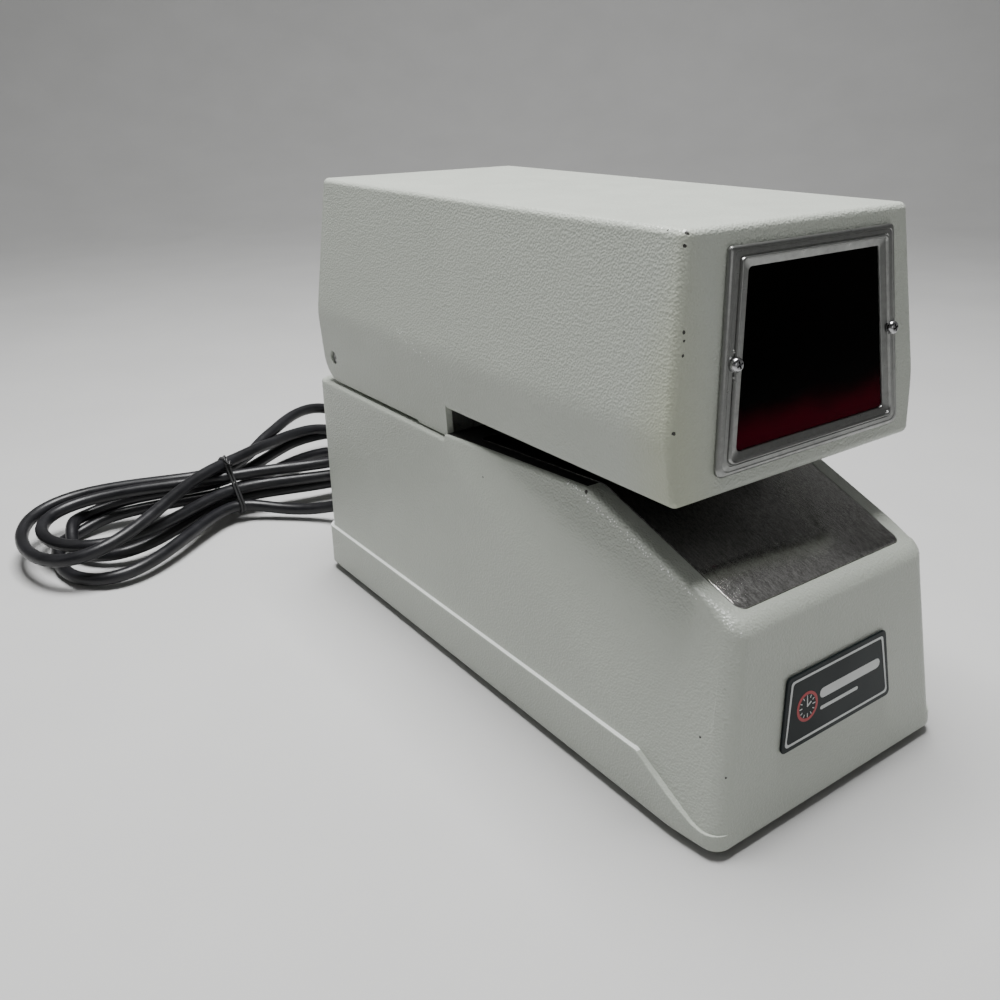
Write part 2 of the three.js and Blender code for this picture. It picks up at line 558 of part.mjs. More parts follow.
function makeSolenoid() {
  const yokeHigh = 86;
  const well = rod('z', 6.6, 30, 90, 0, WHEEL_Y, 0, 20);
  const low = block(-18, 18, WHEEL_Y - 15, WHEEL_Y + 15, YOKE_LOW, YOKE_LOW + 3);
  const high = block(-18, 18, WHEEL_Y - 15, WHEEL_Y + 15, yokeHigh - 3, yokeHigh);
  const web = block(-20, 20, WHEEL_Y + 15, WHEEL_Y + 18, YOKE_LOW, DECK_Z - BASE_WALL - GAP);
  add('solenoid_frame', join(low, high, web).subtract(well), STEEL);
  const coil = [[6.6, COIL_LOW], [14.5, COIL_LOW], [14.5, COIL_HIGH], [6.6, COIL_HIGH], [6.6, COIL_LOW]];
  add('solenoid_coil', turned('z', coil, 0, WHEEL_Y, 0, 24), COPPER);
  const spring = [[6.4, SPRING_LOW + GAP], [8.4, SPRING_LOW + GAP], [8.4, YOKE_LOW - GAP], [6.4, YOKE_LOW - GAP],
    [6.4, SPRING_LOW + GAP]];
  add('hammer_spring', turned('z', spring, 0, WHEEL_Y, 0), STEEL);
}

// ---------------------------------------------------------------- trigger
function makeTrigger() {
  const lever = [[TRIGGER_Y - 2.2, 110], [TRIGGER_Y + 0.2, 109.6], [TRIGGER_Y + 2, TRIGGER_Z - 4],
    ...arc(TRIGGER_Y, TRIGGER_Z, 3.4, -40, 220, 10), [TRIGGER_Y - 1.6, TRIGGER_Z - 5]];
  const bore = arc(TRIGGER_Y, TRIGGER_Z, 1.8, 0, 330, 11).reverse();
  add('trigger_lever', prismX(lever, -2.5, 2.5, [bore]), STEEL);
  const cheek = [[TRIGGER_Y - 5, GUARD_Z + GUARD_THICK + GAP], [TRIGGER_Y + 5, GUARD_Z + GUARD_THICK + GAP],
    [TRIGGER_Y + 4, TRIGGER_Z + 3.5], [TRIGGER_Y - 4, TRIGGER_Z + 3.5]];
  const pin = rod('x', 1.5, -7, 7, 0, TRIGGER_Y, TRIGGER_Z, 12);
  add('trigger_bracket', join(prismX(cheek, -7, -5), prismX(cheek, 5, 7), pin), STEEL);
  const shell = block(-3.5, 3.5, 18.2, 38, GUARD_Z + GUARD_THICK + GAP, 131);
  const button = rod('y', 1, 17, 20, 0, 0, 123.5, 10);
  add('microswitch', join(shell, button), DARK);
}

// ---------------------------------------------------------------- electrics in the base
function makeElectrics() {
  const floor = FOOT_GAP + 2.5 + GAP;
  add('circuit_board', block(-48, 14, 40, 120, floor + 8, floor + 9.6), BOARD);
  add('board_capacitor', rod('z', 9, floor + 9.9, floor + 42, -36, 104, 0, 20), DARK);
  const core = block(20, 56, 40, 92, floor, floor + 44);
  add('transformer', join(core, block(15, 58, 47, 85, floor + 8, floor + 36)), STEEL);
  add('terminal_block', block(-30, 8, 44, 56, floor + 9.9, floor + 22), DARK);
}

// ---------------------------------------------------------------- cord, hank and plug
const LEAD = [[-30, 150, 17], [-30, 158, 17], [-30, 166, 16.9], [-31, 174, 15.6], [-34, 182, 13], [-39, 190, 10],
  [-45.5, 197.5, 7.8], [-53, 205, 6.6], [-60.5, 211.7, 7]];
const TAIL = [[43.5, 236, 11], [44.6, 230, 11], [45.6, 222, 11], [46, 214, 11], [46, 208.5, 11]];

function tube(points, steps) {
  const curve = new THREE.CatmullRomCurve3(points.map((p) => vec(...p)), false, 'centripetal');
  const circle = new THREE.Shape();
  circle.absarc(0, 0, CORD_RADIUS, 0, 2 * Math.PI);
  const settings = { steps, curveSegments: 5, bevelEnabled: false, extrudePath: curve };
  return toSolid(new THREE.ExtrudeGeometry(circle, settings));
}

// The hank is tied at its waist, with a lobe of turns to each side; u runs along it and v across it.
const HANK_TIE = [-84, 240];
const HANK_ANGLE = 6;
const HANK_HEIGHT = 39;
const HANK_LIFT = 0.2;
const HANK_OUTLINE = [[0, -17], [24, -28], [56, -36], [92, -34], [118, -22], [128, -5], [130, 14], [120, 42],
  [96, 60], [62, 64], [28, 40], [0, 17], [-30, 32], [-66, 50], [-98, 44], [-117, 20], [-119, -8], [-110, -36],
  [-88, -50], [-54, -46], [-24, -28]];
const LEFT_HOLE = [[-40, 0], [-62, -22], [-84, -24], [-98, -6], [-90, 16], [-66, 20]];
const RIGHT_HOLE = [[44, 4], [66, -10], [92, -8], [108, 8], [100, 28], [72, 34]];

function makeCord() {
  add('cord_lead', tube(LEAD, 16), RUBBER);
  add('cord_tail', tube(TAIL, 12), RUBBER);
  const hank = add('cord_hank', prismZ(HANK_OUTLINE, HANK_LIFT, HANK_HEIGHT, [LEFT_HOLE, RIGHT_HOLE]), RUBBER);
  hank.rotation.z = THREE.MathUtils.degToRad(HANK_ANGLE);
  hank.position.set(...HANK_TIE, 0);
}

const PLUG_X = 46;
const PLUG_Y = 208.2;
const PLUG_Z = 11;

function makePlug() {
  const outline = [[-5.5, 0], [-5.5, -4], [-12.5, -10], [-13.2, -36], [13.2, -36], [12.5, -10], [5.5, -4], [5.5, 0]];
  const body = prismZ(outline, HANK_LIFT - PLUG_Z, 2 * PLUG_Z - HANK_LIFT - PLUG_Z);
  const blades = [-6.35, 6.35].map((x) => block(x - 0.8, x + 0.8, -53, -35, -3.2, 3.2));
  const pin = rod('y', 2.4, -56, -35, 0, 0, 6.4, 12);
  const plug = add('plug_body', join(body, ...blades, pin), RUBBER);
  plug.position.set(PLUG_X, PLUG_Y, PLUG_Z);
}

function makeStrainRelief() {
  const profile = [[CORD_RADIUS + GAP, -8], [5.9, -8], [5.9, 0], [8.5, 0.3], [8.5, 3], [6.4, 4.5], [4.9, 24],
    [CORD_RADIUS + GAP, 24], [CORD_RADIUS + GAP, -8]];
  const relief = add('strain_relief', turned('y', profile, 0, 0, 0), RUBBER);
  relief.position.set(EXIT_X, BASE_HALF + GAP, EXIT_Z);
}

makeBase();
makeFeet();
makeNameplate();
makeCover();
makeWindow();
makeHinge();
makeLock();
makeFrame();
makeGuard();
makeRibbonPlate();
makeSpools();
makeRibbon();
makeYoke();
makeWheels();
makeGears();
makeHammer();
makeSolenoid();
makeTrigger();
makeElectrics();
makeStrainRelief();
makeCord();
makePlug();

export default part;
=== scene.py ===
import math

import bmesh
import bpy
import numpy as np
from mathutils import Matrix, Vector


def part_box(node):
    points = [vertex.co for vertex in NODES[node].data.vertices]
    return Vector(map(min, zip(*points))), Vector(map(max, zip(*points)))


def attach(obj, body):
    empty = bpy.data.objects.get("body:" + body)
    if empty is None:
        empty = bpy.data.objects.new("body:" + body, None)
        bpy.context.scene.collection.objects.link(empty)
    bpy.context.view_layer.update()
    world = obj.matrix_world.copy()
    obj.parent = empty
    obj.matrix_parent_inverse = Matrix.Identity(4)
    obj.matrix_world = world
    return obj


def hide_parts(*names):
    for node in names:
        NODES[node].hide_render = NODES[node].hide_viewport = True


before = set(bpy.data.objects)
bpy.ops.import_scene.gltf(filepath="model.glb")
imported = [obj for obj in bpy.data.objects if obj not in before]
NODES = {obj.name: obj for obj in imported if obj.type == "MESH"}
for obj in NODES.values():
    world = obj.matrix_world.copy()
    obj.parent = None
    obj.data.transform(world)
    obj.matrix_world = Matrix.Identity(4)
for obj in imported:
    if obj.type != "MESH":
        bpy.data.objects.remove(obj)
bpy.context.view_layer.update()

MM = 0.001

# ------------------------------------------------------------------ driving dimensions, as in the CAD
FOOT_GAP = 3.0
BASE_HALF = 140.0
SKIRT_HALF = 65.6
WALL_HALF = 63.6
LEDGE_Z = 25.4
LEDGE_BEND_Y = -101.5
LEDGE_TOE_Z = 4.7
PARTING_Z = 105.7
DECK_Z = 108.2
NOTCH_Y = 21.0
BEND_Y = -60.8
RIM_HALF, RIM_Y, RIM_Z = 50.8, -130.2, 81.8
BASE_WALL = 5.0
PLATE_INSET = 7.6
PLATE_FRONT_Y, PLATE_REAR_Y = -124.0, 8.0
PLATE_THICK = 1.5
HEAD_TOP_Z, HEAD_BOTTOM_Z, CREASE_Z = 202.0, 118.4, 141.0
HEAD_TOP_HALF, HEAD_CREASE_HALF, HEAD_LOW_HALF = 54.6, 63.6, 62.0
FACE_TOP_Y, FACE_LOW_Y = -100.1, -109.7
HEAD_REAR_Y = 134.5
TAB_Z, TAB_STEP_Y = 107.2, 45.0
COVER_WALL = 3.0
PIN_X, PIN_Y, PIN_Z = 61.8, 122.0, 119.5
PIN_BORE = 3.3
SLOT_NEAR, SLOT_FAR = 44.5, 50.0
LOCK_PLACE = (53.6, 60.0, 152.0)
LOCK_BORE = 9.3
CORNER_RADIUS = 12.5
WINDOW_X = 3.4
BEZEL = {"top_half": 41.0, "top_z": 195.7, "low_half": 48.15, "low_z": 125.03}
OPENING = {"top_half": 32.85, "top_z": 189.0, "low_half": 38.9, "low_z": 132.15}
SCREW_Z = 160.5
NAME_X = -1.0
NAME = {"top_half": 27.35, "top_z": 56.9, "low_half": 31.1, "low_z": 29.25}
CORD_RADIUS = 3.5
CORD_X, CORD_Z = -30.0, 17.0
PLUG_PLACE = (46.0, 208.2, 11.0)
FOOT_X, FOOT_Y = 52, 126
GUARD_LOW_Z, GUARD_TOP_Z = 118.65, 119.55


# ------------------------------------------------------------------ small helpers
def smooth_min(a, b, blend):
    """The smaller of two numbers, rounded where they are about the same."""
    return min(a, b) - blend * math.log1p(math.exp(-abs(a - b) / blend))


def smooth_step(low, high, value):
    t = min(max((value - low) / (high - low), 0.0), 1.0)
    return t * t * (3 - 2 * t)


def mix(a, b, t):
    return a + (b - a) * t


def placed(name, data):
    """A new object in the scene, of a mesh, a curve, a light or a camera."""
    obj = bpy.data.objects.new(name, data)
    bpy.context.scene.collection.objects.link(obj)
    return obj


def plain_object(name, verts, faces):
    """A mesh object from points in millimetres."""
    mesh = bpy.data.meshes.new(name)
    mesh.from_pydata([Vector(v) * MM for v in verts], [], faces)
    return placed(name, mesh)


def new_object(name, verts, faces, sharp=35.0):
    """A clean mesh object from points in millimetres; edges sharper than that angle stay crisp."""
    obj = plain_object(name, verts, faces)
    tidy_mesh(obj, sharp)
    return obj


def tidy_mesh(obj, sharp=35.0):
    """Merges doubled points, drops faces without area and shades the mesh."""
    work = bmesh.new()
    work.from_mesh(obj.data)
    bmesh.ops.remove_doubles(work, verts=work.verts, dist=2e-6)
    bmesh.ops.dissolve_degenerate(work, edges=work.edges, dist=1e-6)
    loose = [v for v in work.verts if not v.link_faces]
    bmesh.ops.delete(work, geom=loose, context="VERTS")
    work.to_mesh(obj.data)
    work.free()
    obj.data.shade_smooth()
    obj.data.set_sharp_from_angle(angle=math.radians(sharp))


def apply_modifiers(obj, sharp=35.0):
    depsgraph = bpy.context.evaluated_depsgraph_get()
    mesh = bpy.data.meshes.new_from_object(obj.evaluated_get(depsgraph))
    obj.modifiers.clear()
    obj.data = mesh
    tidy_mesh(obj, sharp)
    return obj


def cut(obj, *cutters, operation="DIFFERENCE", sharp=35.0, thorough=False):
    """Takes the cutters out of the object, or joins them to it, and deletes them."""
    for cutter in cutters:
        change = obj.modifiers.new("cut", "BOOLEAN")
        change.operation = operation
        change.solver = "EXACT"
        change.use_self = thorough
        change.object = cutter
    apply_modifiers(obj, sharp)
    for cutter in cutters:
        bpy.data.objects.remove(cutter)
    return obj


def bevel(obj, width):
    """A bevel on the object's sharp edges, as a modifier."""
    soft = obj.modifiers.new("bevel", "BEVEL")
    soft.width = width * MM
    soft.segments = 2
    soft.limit_method = "ANGLE"
    soft.angle_limit = math.radians(40)
    soft.harden_normals = True
    return obj


def loft(rings, cap_first=False, cap_last=False):
    """Points and faces of a skin over closed rings that have the same number of points."""
    verts = [p for ring in rings for p in ring]
    count = len(rings[0])
    faces = []
    for r in range(len(rings) - 1):
        for i in range(count):
            j = (i + 1) % count
            a, b = r * count, (r + 1) * count
            faces.append((a + i, a + j, b + j, b + i))
    if cap_first:
        faces.append(tuple(reversed(range(count))))
    if cap_last:
        faces.append(tuple((len(rings) - 1) * count + i for i in range(count)))
    return verts, faces


def solid(name, rings, sharp=35.0):
    """A body with its first and last ring filled."""
    return new_object(name, *loft(rings, True, True), sharp)


def box(name, low, high):
    x, y, z = zip(low, high)
    ring = [(x[0], y[0]), (x[1], y[0]), (x[1], y[1]), (x[0], y[1])]
    return solid(name, [[(*p, h) for p in ring] for h in z])


def turns(steps):
    """The angles of evenly spaced points round a circle."""
    return [2 * math.pi * i / steps for i in range(steps)]


def turned_rings(profile, steps):
    return [[(r * math.cos(t), r * math.sin(t), h) for t in turns(steps)] for r, h in profile]


def lathe(name, profile, axis="z", steps=48, place=(0, 0, 0), sharp=35.0):
    """A body of revolution. The profile is (radius, distance along the axis), from one end to the other."""
    capped = [end[0] > 0.01 for end in (profile[0], profile[-1])]
    obj = new_object(name, *loft(turned_rings(profile, steps), *capped), sharp)
    turn = {
        "x": Matrix.Rotation(math.pi / 2, 4, "Y"),
        "y": Matrix.Rotation(-math.pi / 2, 4, "X"),
        "z": Matrix.Identity(4),
    }[axis]
    obj.data.transform(Matrix.Translation(Vector(place) * MM) @ turn)
    return obj


def join_objects(name, objects):
    """One object out of several, each face keeping its material."""
    work = bmesh.new()
    materials = []
    for obj in objects:
        slots = [s.material for s in obj.material_slots] or [None]
        places = []
        for material in slots:
            if material not in materials:
                materials.append(material)
            places.append(materials.index(material))
        before = len(work.faces)
        mesh = obj.data.copy()
        mesh.transform(obj.matrix_world)
        work.from_mesh(mesh)
        work.faces.ensure_lookup_table()
        for face in work.faces[before:]:
            face.material_index = places[min(face.material_index, len(places) - 1)]
        bpy.data.meshes.remove(mesh)
        bpy.data.objects.remove(obj)
    mesh = bpy.data.meshes.new(name)
    work.to_mesh(mesh)
    work.free()
    for material in materials:
        mesh.materials.append(material)
    joined = placed(name, mesh)
    mesh.shade_smooth()
    mesh.set_sharp_from_angle(angle=math.radians(35))
    return joined


def paint(obj, *materials):
    obj.data.materials.clear()
    for material in materials:
        obj.data.materials.append(material)
    return obj


def stand_for(obj, body, slot, *nodes):
    """The piece rides on the body and stands for those CAD nodes. The slot is not used."""
    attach(obj, body)
    if nodes:
        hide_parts(*nodes)
    return obj


# ------------------------------------------------------------------ camera, lights and floor
CAMERA_PLACE = (-263.2, -299.6, 240.3)
CAMERA_AZIMUTH, CAMERA_ELEVATION, CAMERA_ROLL = -35.43, 23.27, -0.74
CAMERA_LENS = 34.6


def make_camera():
    data = bpy.data.cameras.new("camera")
    data.lens = CAMERA_LENS
    data.sensor_width = 36.0
    data.clip_start = 0.01
    camera = placed("camera", data)
    azimuth, elevation = math.radians(CAMERA_AZIMUTH), math.radians(CAMERA_ELEVATION)
    back = Vector((
        math.sin(azimuth) * math.cos(elevation),
        -math.cos(azimuth) * math.cos(elevation),
        math.sin(elevation),
    ))
    level = back.to_track_quat("Z", "Y").to_matrix().to_4x4()
    roll = Matrix.Rotation(math.radians(CAMERA_ROLL), 4, "Z")
    camera.matrix_world = Matrix.Translation(Vector(CAMERA_PLACE) * MM) @ level @ roll
    bpy.context.scene.camera = camera


def make_light(name, place, target, size, power):
    data = bpy.data.lights.new(name, "AREA")
    data.shape = "RECTANGLE"
    data.size, data.size_y = size
    data.energy = power
    light = placed(name, data)
    light.location = place
    light.rotation_euler = (Vector(target) - Vector(place)).to_track_quat("-Z", "Y").to_euler()
    light.visible_camera = False


def make_floor():
    """A round table that sweeps up into a backdrop on every side."""
    flat, rise = 1500.0, 1100.0
    profile = [(flat * i / 6, 0.0) for i in range(7)]
    for i in range(1, 13):
        turn = math.pi / 2 * i / 12
        profile.append((flat + rise * math.sin(turn), rise * (1 - math.cos(turn))))
    profile.append((flat + rise, rise + 500))
    floor = new_object("floor", *loft(turned_rings(profile, 72)))
    for polygon in floor.data.polygons:
        polygon.flip()
    paint(floor, floor_material())


def make_lights():
    world = bpy.data.worlds.new("studio")
    world.use_nodes = True
    sky = world.node_tree.nodes["Background"].inputs
    sky["Color"].default_value = (0.93, 0.96, 1.0, 1)
    sky["Strength"].default_value = 0.01
    bpy.context.scene.world = world
    make_light("overhead", (-0.02, 0.12, 1.15), (-0.02, 0.0, 0), (0.52, 0.52), 32)
    make_light("ceiling", (0.6, 0.9, 1.95), (0.6, 0.9, 0), (4.4, 4.4), 16)
    make_light("backdrop", (0.9, 1.1, 1.3), (1.35, 2.1, 0.2), (1.4, 0.6), 7)
    make_light("left_fill", (-1.3, 0.5, 1.0), (0.0, 0.0, 0.1), (0.8, 0.8), 1.5)
    make_light("front_fill", (-0.2, -1.2, 0.45), (0.0, 0.0, 0.05), (0.9, 0.5), 1.0)


# ------------------------------------------------------------------ materials
class Nodes:
    """A material's node tree, with a Principled shader that shapes are wired to."""

    def __init__(self, name, colour, rough, metal=0.0, **sockets):
        self.material = bpy.data.materials.new(name)
        self.material.use_nodes = True
        self.tree = self.material.node_tree
        self.shader = self.tree.nodes["Principled BSDF"]
        self.material.diffuse_color = (*colour, 1)
        for socket, value in {"Base Color": colour, "Roughness": rough, "Metallic": metal, **sockets}.items():
            self.feed(self.shader.inputs[socket.replace("_", " ")], value)
        self.place = self.tree.nodes.new("ShaderNodeTexCoord").outputs["Object"]

    def feed(self, socket, value):
        """Wires a socket to another one, or gives it a number, a vector or a colour of three numbers."""
        if isinstance(value, bpy.types.NodeSocket):
            self.tree.links.new(value, socket)
        elif socket.type == "RGBA":
            socket.default_value = (*value, 1)
        else:
            socket.default_value = value

    def node(self, kind, settings=(), **inputs):
        made = self.tree.nodes.new("ShaderNode" + kind)
        for name, value in settings:
            setattr(made, name, value)
        for name, value in inputs.items():
            self.feed(made.inputs[name.replace("_", " ")], value)
        return made

    def stretched(self, scale):
        return self.node("Mapping", Vector=self.place, Scale=scale).outputs[0]

    def noise(self, scale, detail=3.0, rough=0.55, place=None):
        place = place or self.place
        return self.node("TexNoise", Vector=place, Scale=scale, Detail=detail, Roughness=rough).outputs[0]

    def cells(self, scale, smooth):
        kind = (("feature", "SMOOTH_F1"),)
        made = self.node("TexVoronoi", kind, Vector=self.place, Scale=scale, Smoothness=smooth)
        return made.outputs["Distance"]

    def ramp(self, value, *stops):
        """A colour ramp; each stop is (place, colour) or (place, grey)."""
        made = self.node("ValToRGB", Fac=value)
        points = made.color_ramp.elements
        for i, (at, colour) in enumerate(stops):
            point = points[i] if i < 2 else points.new(at)
            point.position = at
            grey = isinstance(colour, (int, float))
            point.color = (colour, colour, colour, 1) if grey else (*colour, 1)
        return made.outputs[0]

    def combined(self, kind, settings, a, b, first=0):
        """A node of two inputs, the first of which has that number."""
        made = self.node(kind, settings)
        self.feed(made.inputs[first], a)
        self.feed(made.inputs[first + 1], b)
        return made

    def maths(self, operation, a, b):
        return self.combined("Math", (("operation", operation),), a, b).outputs[0]

    def vectors(self, operation, a, b=(0, 0, 0)):
        return self.combined("VectorMath", (("operation", operation),), a, b).outputs

    def mixed(self, factor, a, b):
        """Mixes two colours, each a socket or three numbers."""
        made = self.combined("Mix", (("data_type", "RGBA"),), a, b, 6)
        self.feed(made.inputs[0], factor)
        return made.outputs[2]

    def share(self, value, low, high):
        """0 where the value is low, 1 where it is high, and evenly between."""
        return self.node("MapRange", Value=value, From_Min=low, From_Max=high).outputs[0]

    def axes(self):
        return self.node("SeparateXYZ", Vector=self.place).outputs

    def bump(self, height, distance, strength=1.0):
        made = self.node("Bump", Height=height, Distance=distance * MM, Strength=strength)
        self.feed(self.shader.inputs["Normal"], made.outputs[0])

    def colour(self, socket):
        self.feed(self.shader.inputs["Base Color"], socket)

    def rough(self, socket):
        self.feed(self.shader.inputs["Roughness"], socket)

    def spots(self, places, radius, jitter):
        """1 inside small ragged spots round those points, 0 elsewhere."""
        ragged = self.maths("MULTIPLY", self.maths("SUBTRACT", self.noise(900, 3), 0.5), jitter * MM)
        total = 0.0
        for place, size in places:
            far = self.vectors("DISTANCE", self.place, [c * MM for c in place])["Value"]
            near = self.maths("LESS_THAN", self.maths("ADD", far, ragged), radius * size * MM)
            total = self.maths("MAXIMUM", total, near)
        return total


def floor_material():
    made = Nodes("studio_floor", (0.43, 0.43, 0.425), 0.8)
    made.colour(made.ramp(made.noise(9, 4), (0.3, (0.45, 0.45, 0.445)), (0.7, (0.475, 0.475, 0.47))))
    made.bump(made.noise(900, 3), 0.15, 0.3)
    return made.material


def metal_material(name, colour, rough, grain=(1, 1, 1), grain_scale=600.0, depth=0.03, shade=0.18):
    """Metal with fine grain: long along an axis where that entry of grain is small."""
    made = Nodes(name, colour, rough, 1.0)
    lines = made.noise(grain_scale, 4, 0.6, made.stretched(grain))
    patches = made.noise(35, 4)
    dark = tuple(c * (1 - shade) for c in colour)
    blend = made.maths("ADD", made.maths("MULTIPLY", lines, 0.6), made.maths("MULTIPLY", patches, 0.4))
    made.colour(made.ramp(blend, (0.3, dark), (0.65, colour)))
    made.rough(made.ramp(blend, (0.25, min(rough + 0.16, 1)), (0.75, max(rough - 0.08, 0.03))))
    made.bump(lines, depth, 0.5)
    return made.material


def plastic_material(name, colour, rough, grain=700.0, depth=0.03, **sockets):
    made = Nodes(name, colour, rough, **sockets)
    fine = made.noise(grain, 3)
    broad = made.noise(25, 4)
    dark = tuple(c * 0.8 for c in colour)
    made.colour(made.ramp(broad, (0.3, dark), (0.7, colour)))
    made.rough(made.ramp(broad, (0.3, min(rough + 0.08, 1)), (0.7, max(rough - 0.06, 0.02))))
    made.bump(fine, depth, 0.5)
    return made.material


# Where the enamel is chipped to the dark metal, and how large each chip is.
CHIPS = (
    ((-53.4, -99.4, 200.9), 1.0), ((-54.3, -99.9, 197.4), 0.6), ((-54.2, -92.6, 201.1), 0.5),
    ((-56.2, -103.4, 172.9), 0.8), ((-56.3, -103.7, 170.5), 0.6), ((-56.8, -104.2, 166.2), 0.6),
    ((-61.1, -106.7, 143.3), 0.8), ((-58.3, -124.4, 41.3), 0.55), ((-56.6, -135.2, 30.7), 0.6),
    ((-62.1, -5.4, 97.2), 0.5), ((-54.4, -59.3, 106.7), 0.9),
)
# Two points of the worn edge of the throat, and how far the wear and its painted highlight reach from the
# line between them.
WEAR_SHEEN_FROM, WEAR_SHEEN_TO, WEAR_SHEEN_REACH = (-54.4, -66.0, 102.4), (-49.4, -128.5, 80.3), 1.4


def paint_material(name, dark, light):
    """Pale grey-green stoved enamel with a fine leather texture, a little yellowed and chipped, and worn
    along the throat's edge, where the worn spots are also painted near-white as a highlight.
    """
    made = Nodes(name, light, 0.34)
    grain = made.cells(1150, 0.5)
    fine = made.noise(1900, 2)
    broad = made.ramp(made.noise(11, 5), (0.3, dark), (0.7, light))
    x, y, z = made.axes()
    stained = made.share(made.maths("ADD", x, y), -0.148, -0.166)
    high = made.maths("MULTIPLY", made.maths("GREATER_THAN", z, 0.112), 0.6)
    yellow = tuple(c * s for c, s in zip(light, (0.94, 0.93, 0.74)))
    yellowed = made.mixed(made.maths("MULTIPLY", stained, high), broad, yellow)
    chipped = made.spots(CHIPS, 0.75, 1.3)
    away = made.vectors("SUBTRACT", made.place, [c * MM for c in WEAR_SHEEN_FROM])[0]
    along = (Vector(WEAR_SHEEN_TO) - Vector(WEAR_SHEEN_FROM)).normalized()
    far = made.vectors("LENGTH", made.vectors("CROSS_PRODUCT", away, along)[0])["Value"]
    near = made.maths("LESS_THAN", far, WEAR_SHEEN_REACH * MM)
    dots = made.maths("LESS_THAN", made.cells(900, 0.05), 0.27)
    wear_and_sheen = made.maths("MULTIPLY", near, dots)
    # The worn spots are painted near-white: real wear with a painted highlight in its colour; their lower
    # roughness is the wear.
    with_painted_sheen = made.mixed(made.maths("MULTIPLY", wear_and_sheen, 0.85), yellowed, (0.92, 0.94, 0.92))
    made.colour(made.mixed(chipped, with_painted_sheen, (0.035, 0.034, 0.03)))
    smoothness = made.ramp(made.noise(60, 4), (0.3, 0.3), (0.7, 0.38))
    made.rough(made.mixed(wear_and_sheen, smoothness, (0.29, 0.29, 0.29)))
    height = made.maths("ADD", made.maths("MULTIPLY", grain, 0.9), made.maths("MULTIPLY", fine, 0.3))
    made.bump(made.maths("SUBTRACT", height, chipped), 0.3, 0.9)
    return made.material


def brushed_material():
    """Stainless sheet brushed from front to back: fine scratches, a few longer streaks and dull spots."""
    made = Nodes("brushed_stainless", (0.36, 0.355, 0.34), 0.2, 1.0)
    fine = made.noise(5200, 2, 0.5, made.stretched((1, 0.012, 1)))
    streaks = made.noise(1100, 4, 0.65, made.stretched((1, 0.02, 1)))
    spots = made.noise(210, 3)
    blend = made.maths("ADD", made.maths("MULTIPLY", fine, 0.5), made.maths("MULTIPLY", streaks, 0.5))
    bright = made.ramp(blend, (0.38, (0.2, 0.195, 0.185)), (0.6, (0.5, 0.495, 0.48)))
    stain = made.ramp(spots, (0.25, 0.45), (0.34, 1.0))
    made.colour(made.mixed(made.maths("SUBTRACT", 1.0, stain), bright, (0.10, 0.095, 0.085)))
    made.rough(made.ramp(streaks, (0.3, 0.08), (0.7, 0.17)))
    made.bump(blend, 0.05, 1.0)
    return made.material


def lens_material():
    """Deep red acrylic, almost black, with a brighter red painted along its lower edge as a glow of gathered
    light.
    """
    made = Nodes("red_lens", (0.03, 0.001, 0.003), 0.05, Specular_IOR_Level=0.04, IOR=1.08)
    wavy = made.maths("ADD", made.axes()["Z"], made.maths("MULTIPLY", made.noise(45, 3), 0.01))
    # The lower band is painted brighter red and lets less light through: a painted glow.
    low = made.share(wavy, 0.152, 0.142)
    made.colour(made.ramp(low, (0.0, (0.004, 0.0, 0.0008)), (1.0, (0.10, 0.002, 0.012))))
    made.rough(made.ramp(made.noise(30, 4), (0.3, 0.03), (0.7, 0.08)))
    made.feed(made.shader.inputs["Transmission Weight"], made.ramp(low, (0.0, 0.97), (1.0, 0.55)))
    return made.material


# ------------------------------------------------------------------ cord
# The route's points, in millimetres: out of the strain relief, the turns of the hank, and up to the plug.
LEAD = [(-30, 150, 17), (-30, 158, 17), (-30, 166, 16.9), (-31, 174, 15.6), (-34, 182, 13), (-39, 190, 10),
        (-45.5, 197.5, 7.8), (-53, 205, 6.6), (-61.5, 212.5, 7), (-71, 220, 8.4)]
TAIL = [(42, 244, 12), (44, 236, 11), (45.5, 226, 11), (46, 217, 11), (46, 208.6, 11)]
# Each turn leaves the tie, goes round one end of the hank and comes back to the tie:
# reach, half width, sideways shift, height at its end, and the side it leaves on.
TURNS = [(-106, 35, -14, 4, -1), (112, 27, 8, 6, 1), (-93, 29, 1, 5, -1), (120, 31, 12, 11, 1),
         (-107, 33, 9, 17, -1), (108, 31, 16, 20, -1), (-119, 44, -6, 15, -1), (124, 42, 20, 16, 1)]
# Where each turn passes the tie, across it and up.
AT_TIE = [(-12, 10.5), (7.5, 10.5), (-1, 10), (8, 18), (-7.5, 18.5), (-4, 25.6), (0, 33), (4, 25.6), (0, 12)]
HUMP = [0, 0, 0, 12, 0, 0, 0, 34]
TURN_STEPS = 16
TIE_PLACE = (-84.0, 240.0)
TIE_ANGLE = 6.0
STRAND_GAP = 7.15
CORD_STEP = 3.0


def spread(x, ease=0.25):
    """Goes from 0 to 1 with x, slowly at first, so the strands leave the tie side by side."""
    return x * x * (1 + ease) / (x + ease)


def hank_points():
    turn = math.radians(TIE_ANGLE)
    points = []
    for i, (reach, half, shift, height, side) in enumerate(TURNS):
        (across0, up0), (across1, up1) = AT_TIE[i], AT_TIE[i + 1]
        steps = TURN_STEPS if i < len(TURNS) - 1 else TURN_STEPS // 2 + 1
        for step in range(steps):
            angle = math.pi * step / TURN_STEPS
            done = (1 - math.cos(angle)) / 2
            out = math.sin(angle)
            along = reach * out
            across = mix(across0, across1, done) + side * math.cos(angle) * 2 * half * spread(out)
            across += shift * out * out
            up = mix(mix(up0, up1, done), height, out * out)
            up += HUMP[i] * spread(out) * max(0, side * math.cos(angle))
            points.append((
                TIE_PLACE[0] + along * math.cos(turn) - across * math.sin(turn),
                TIE_PLACE[1] + along * math.sin(turn) + across * math.cos(turn),
                up,
            ))
    return points


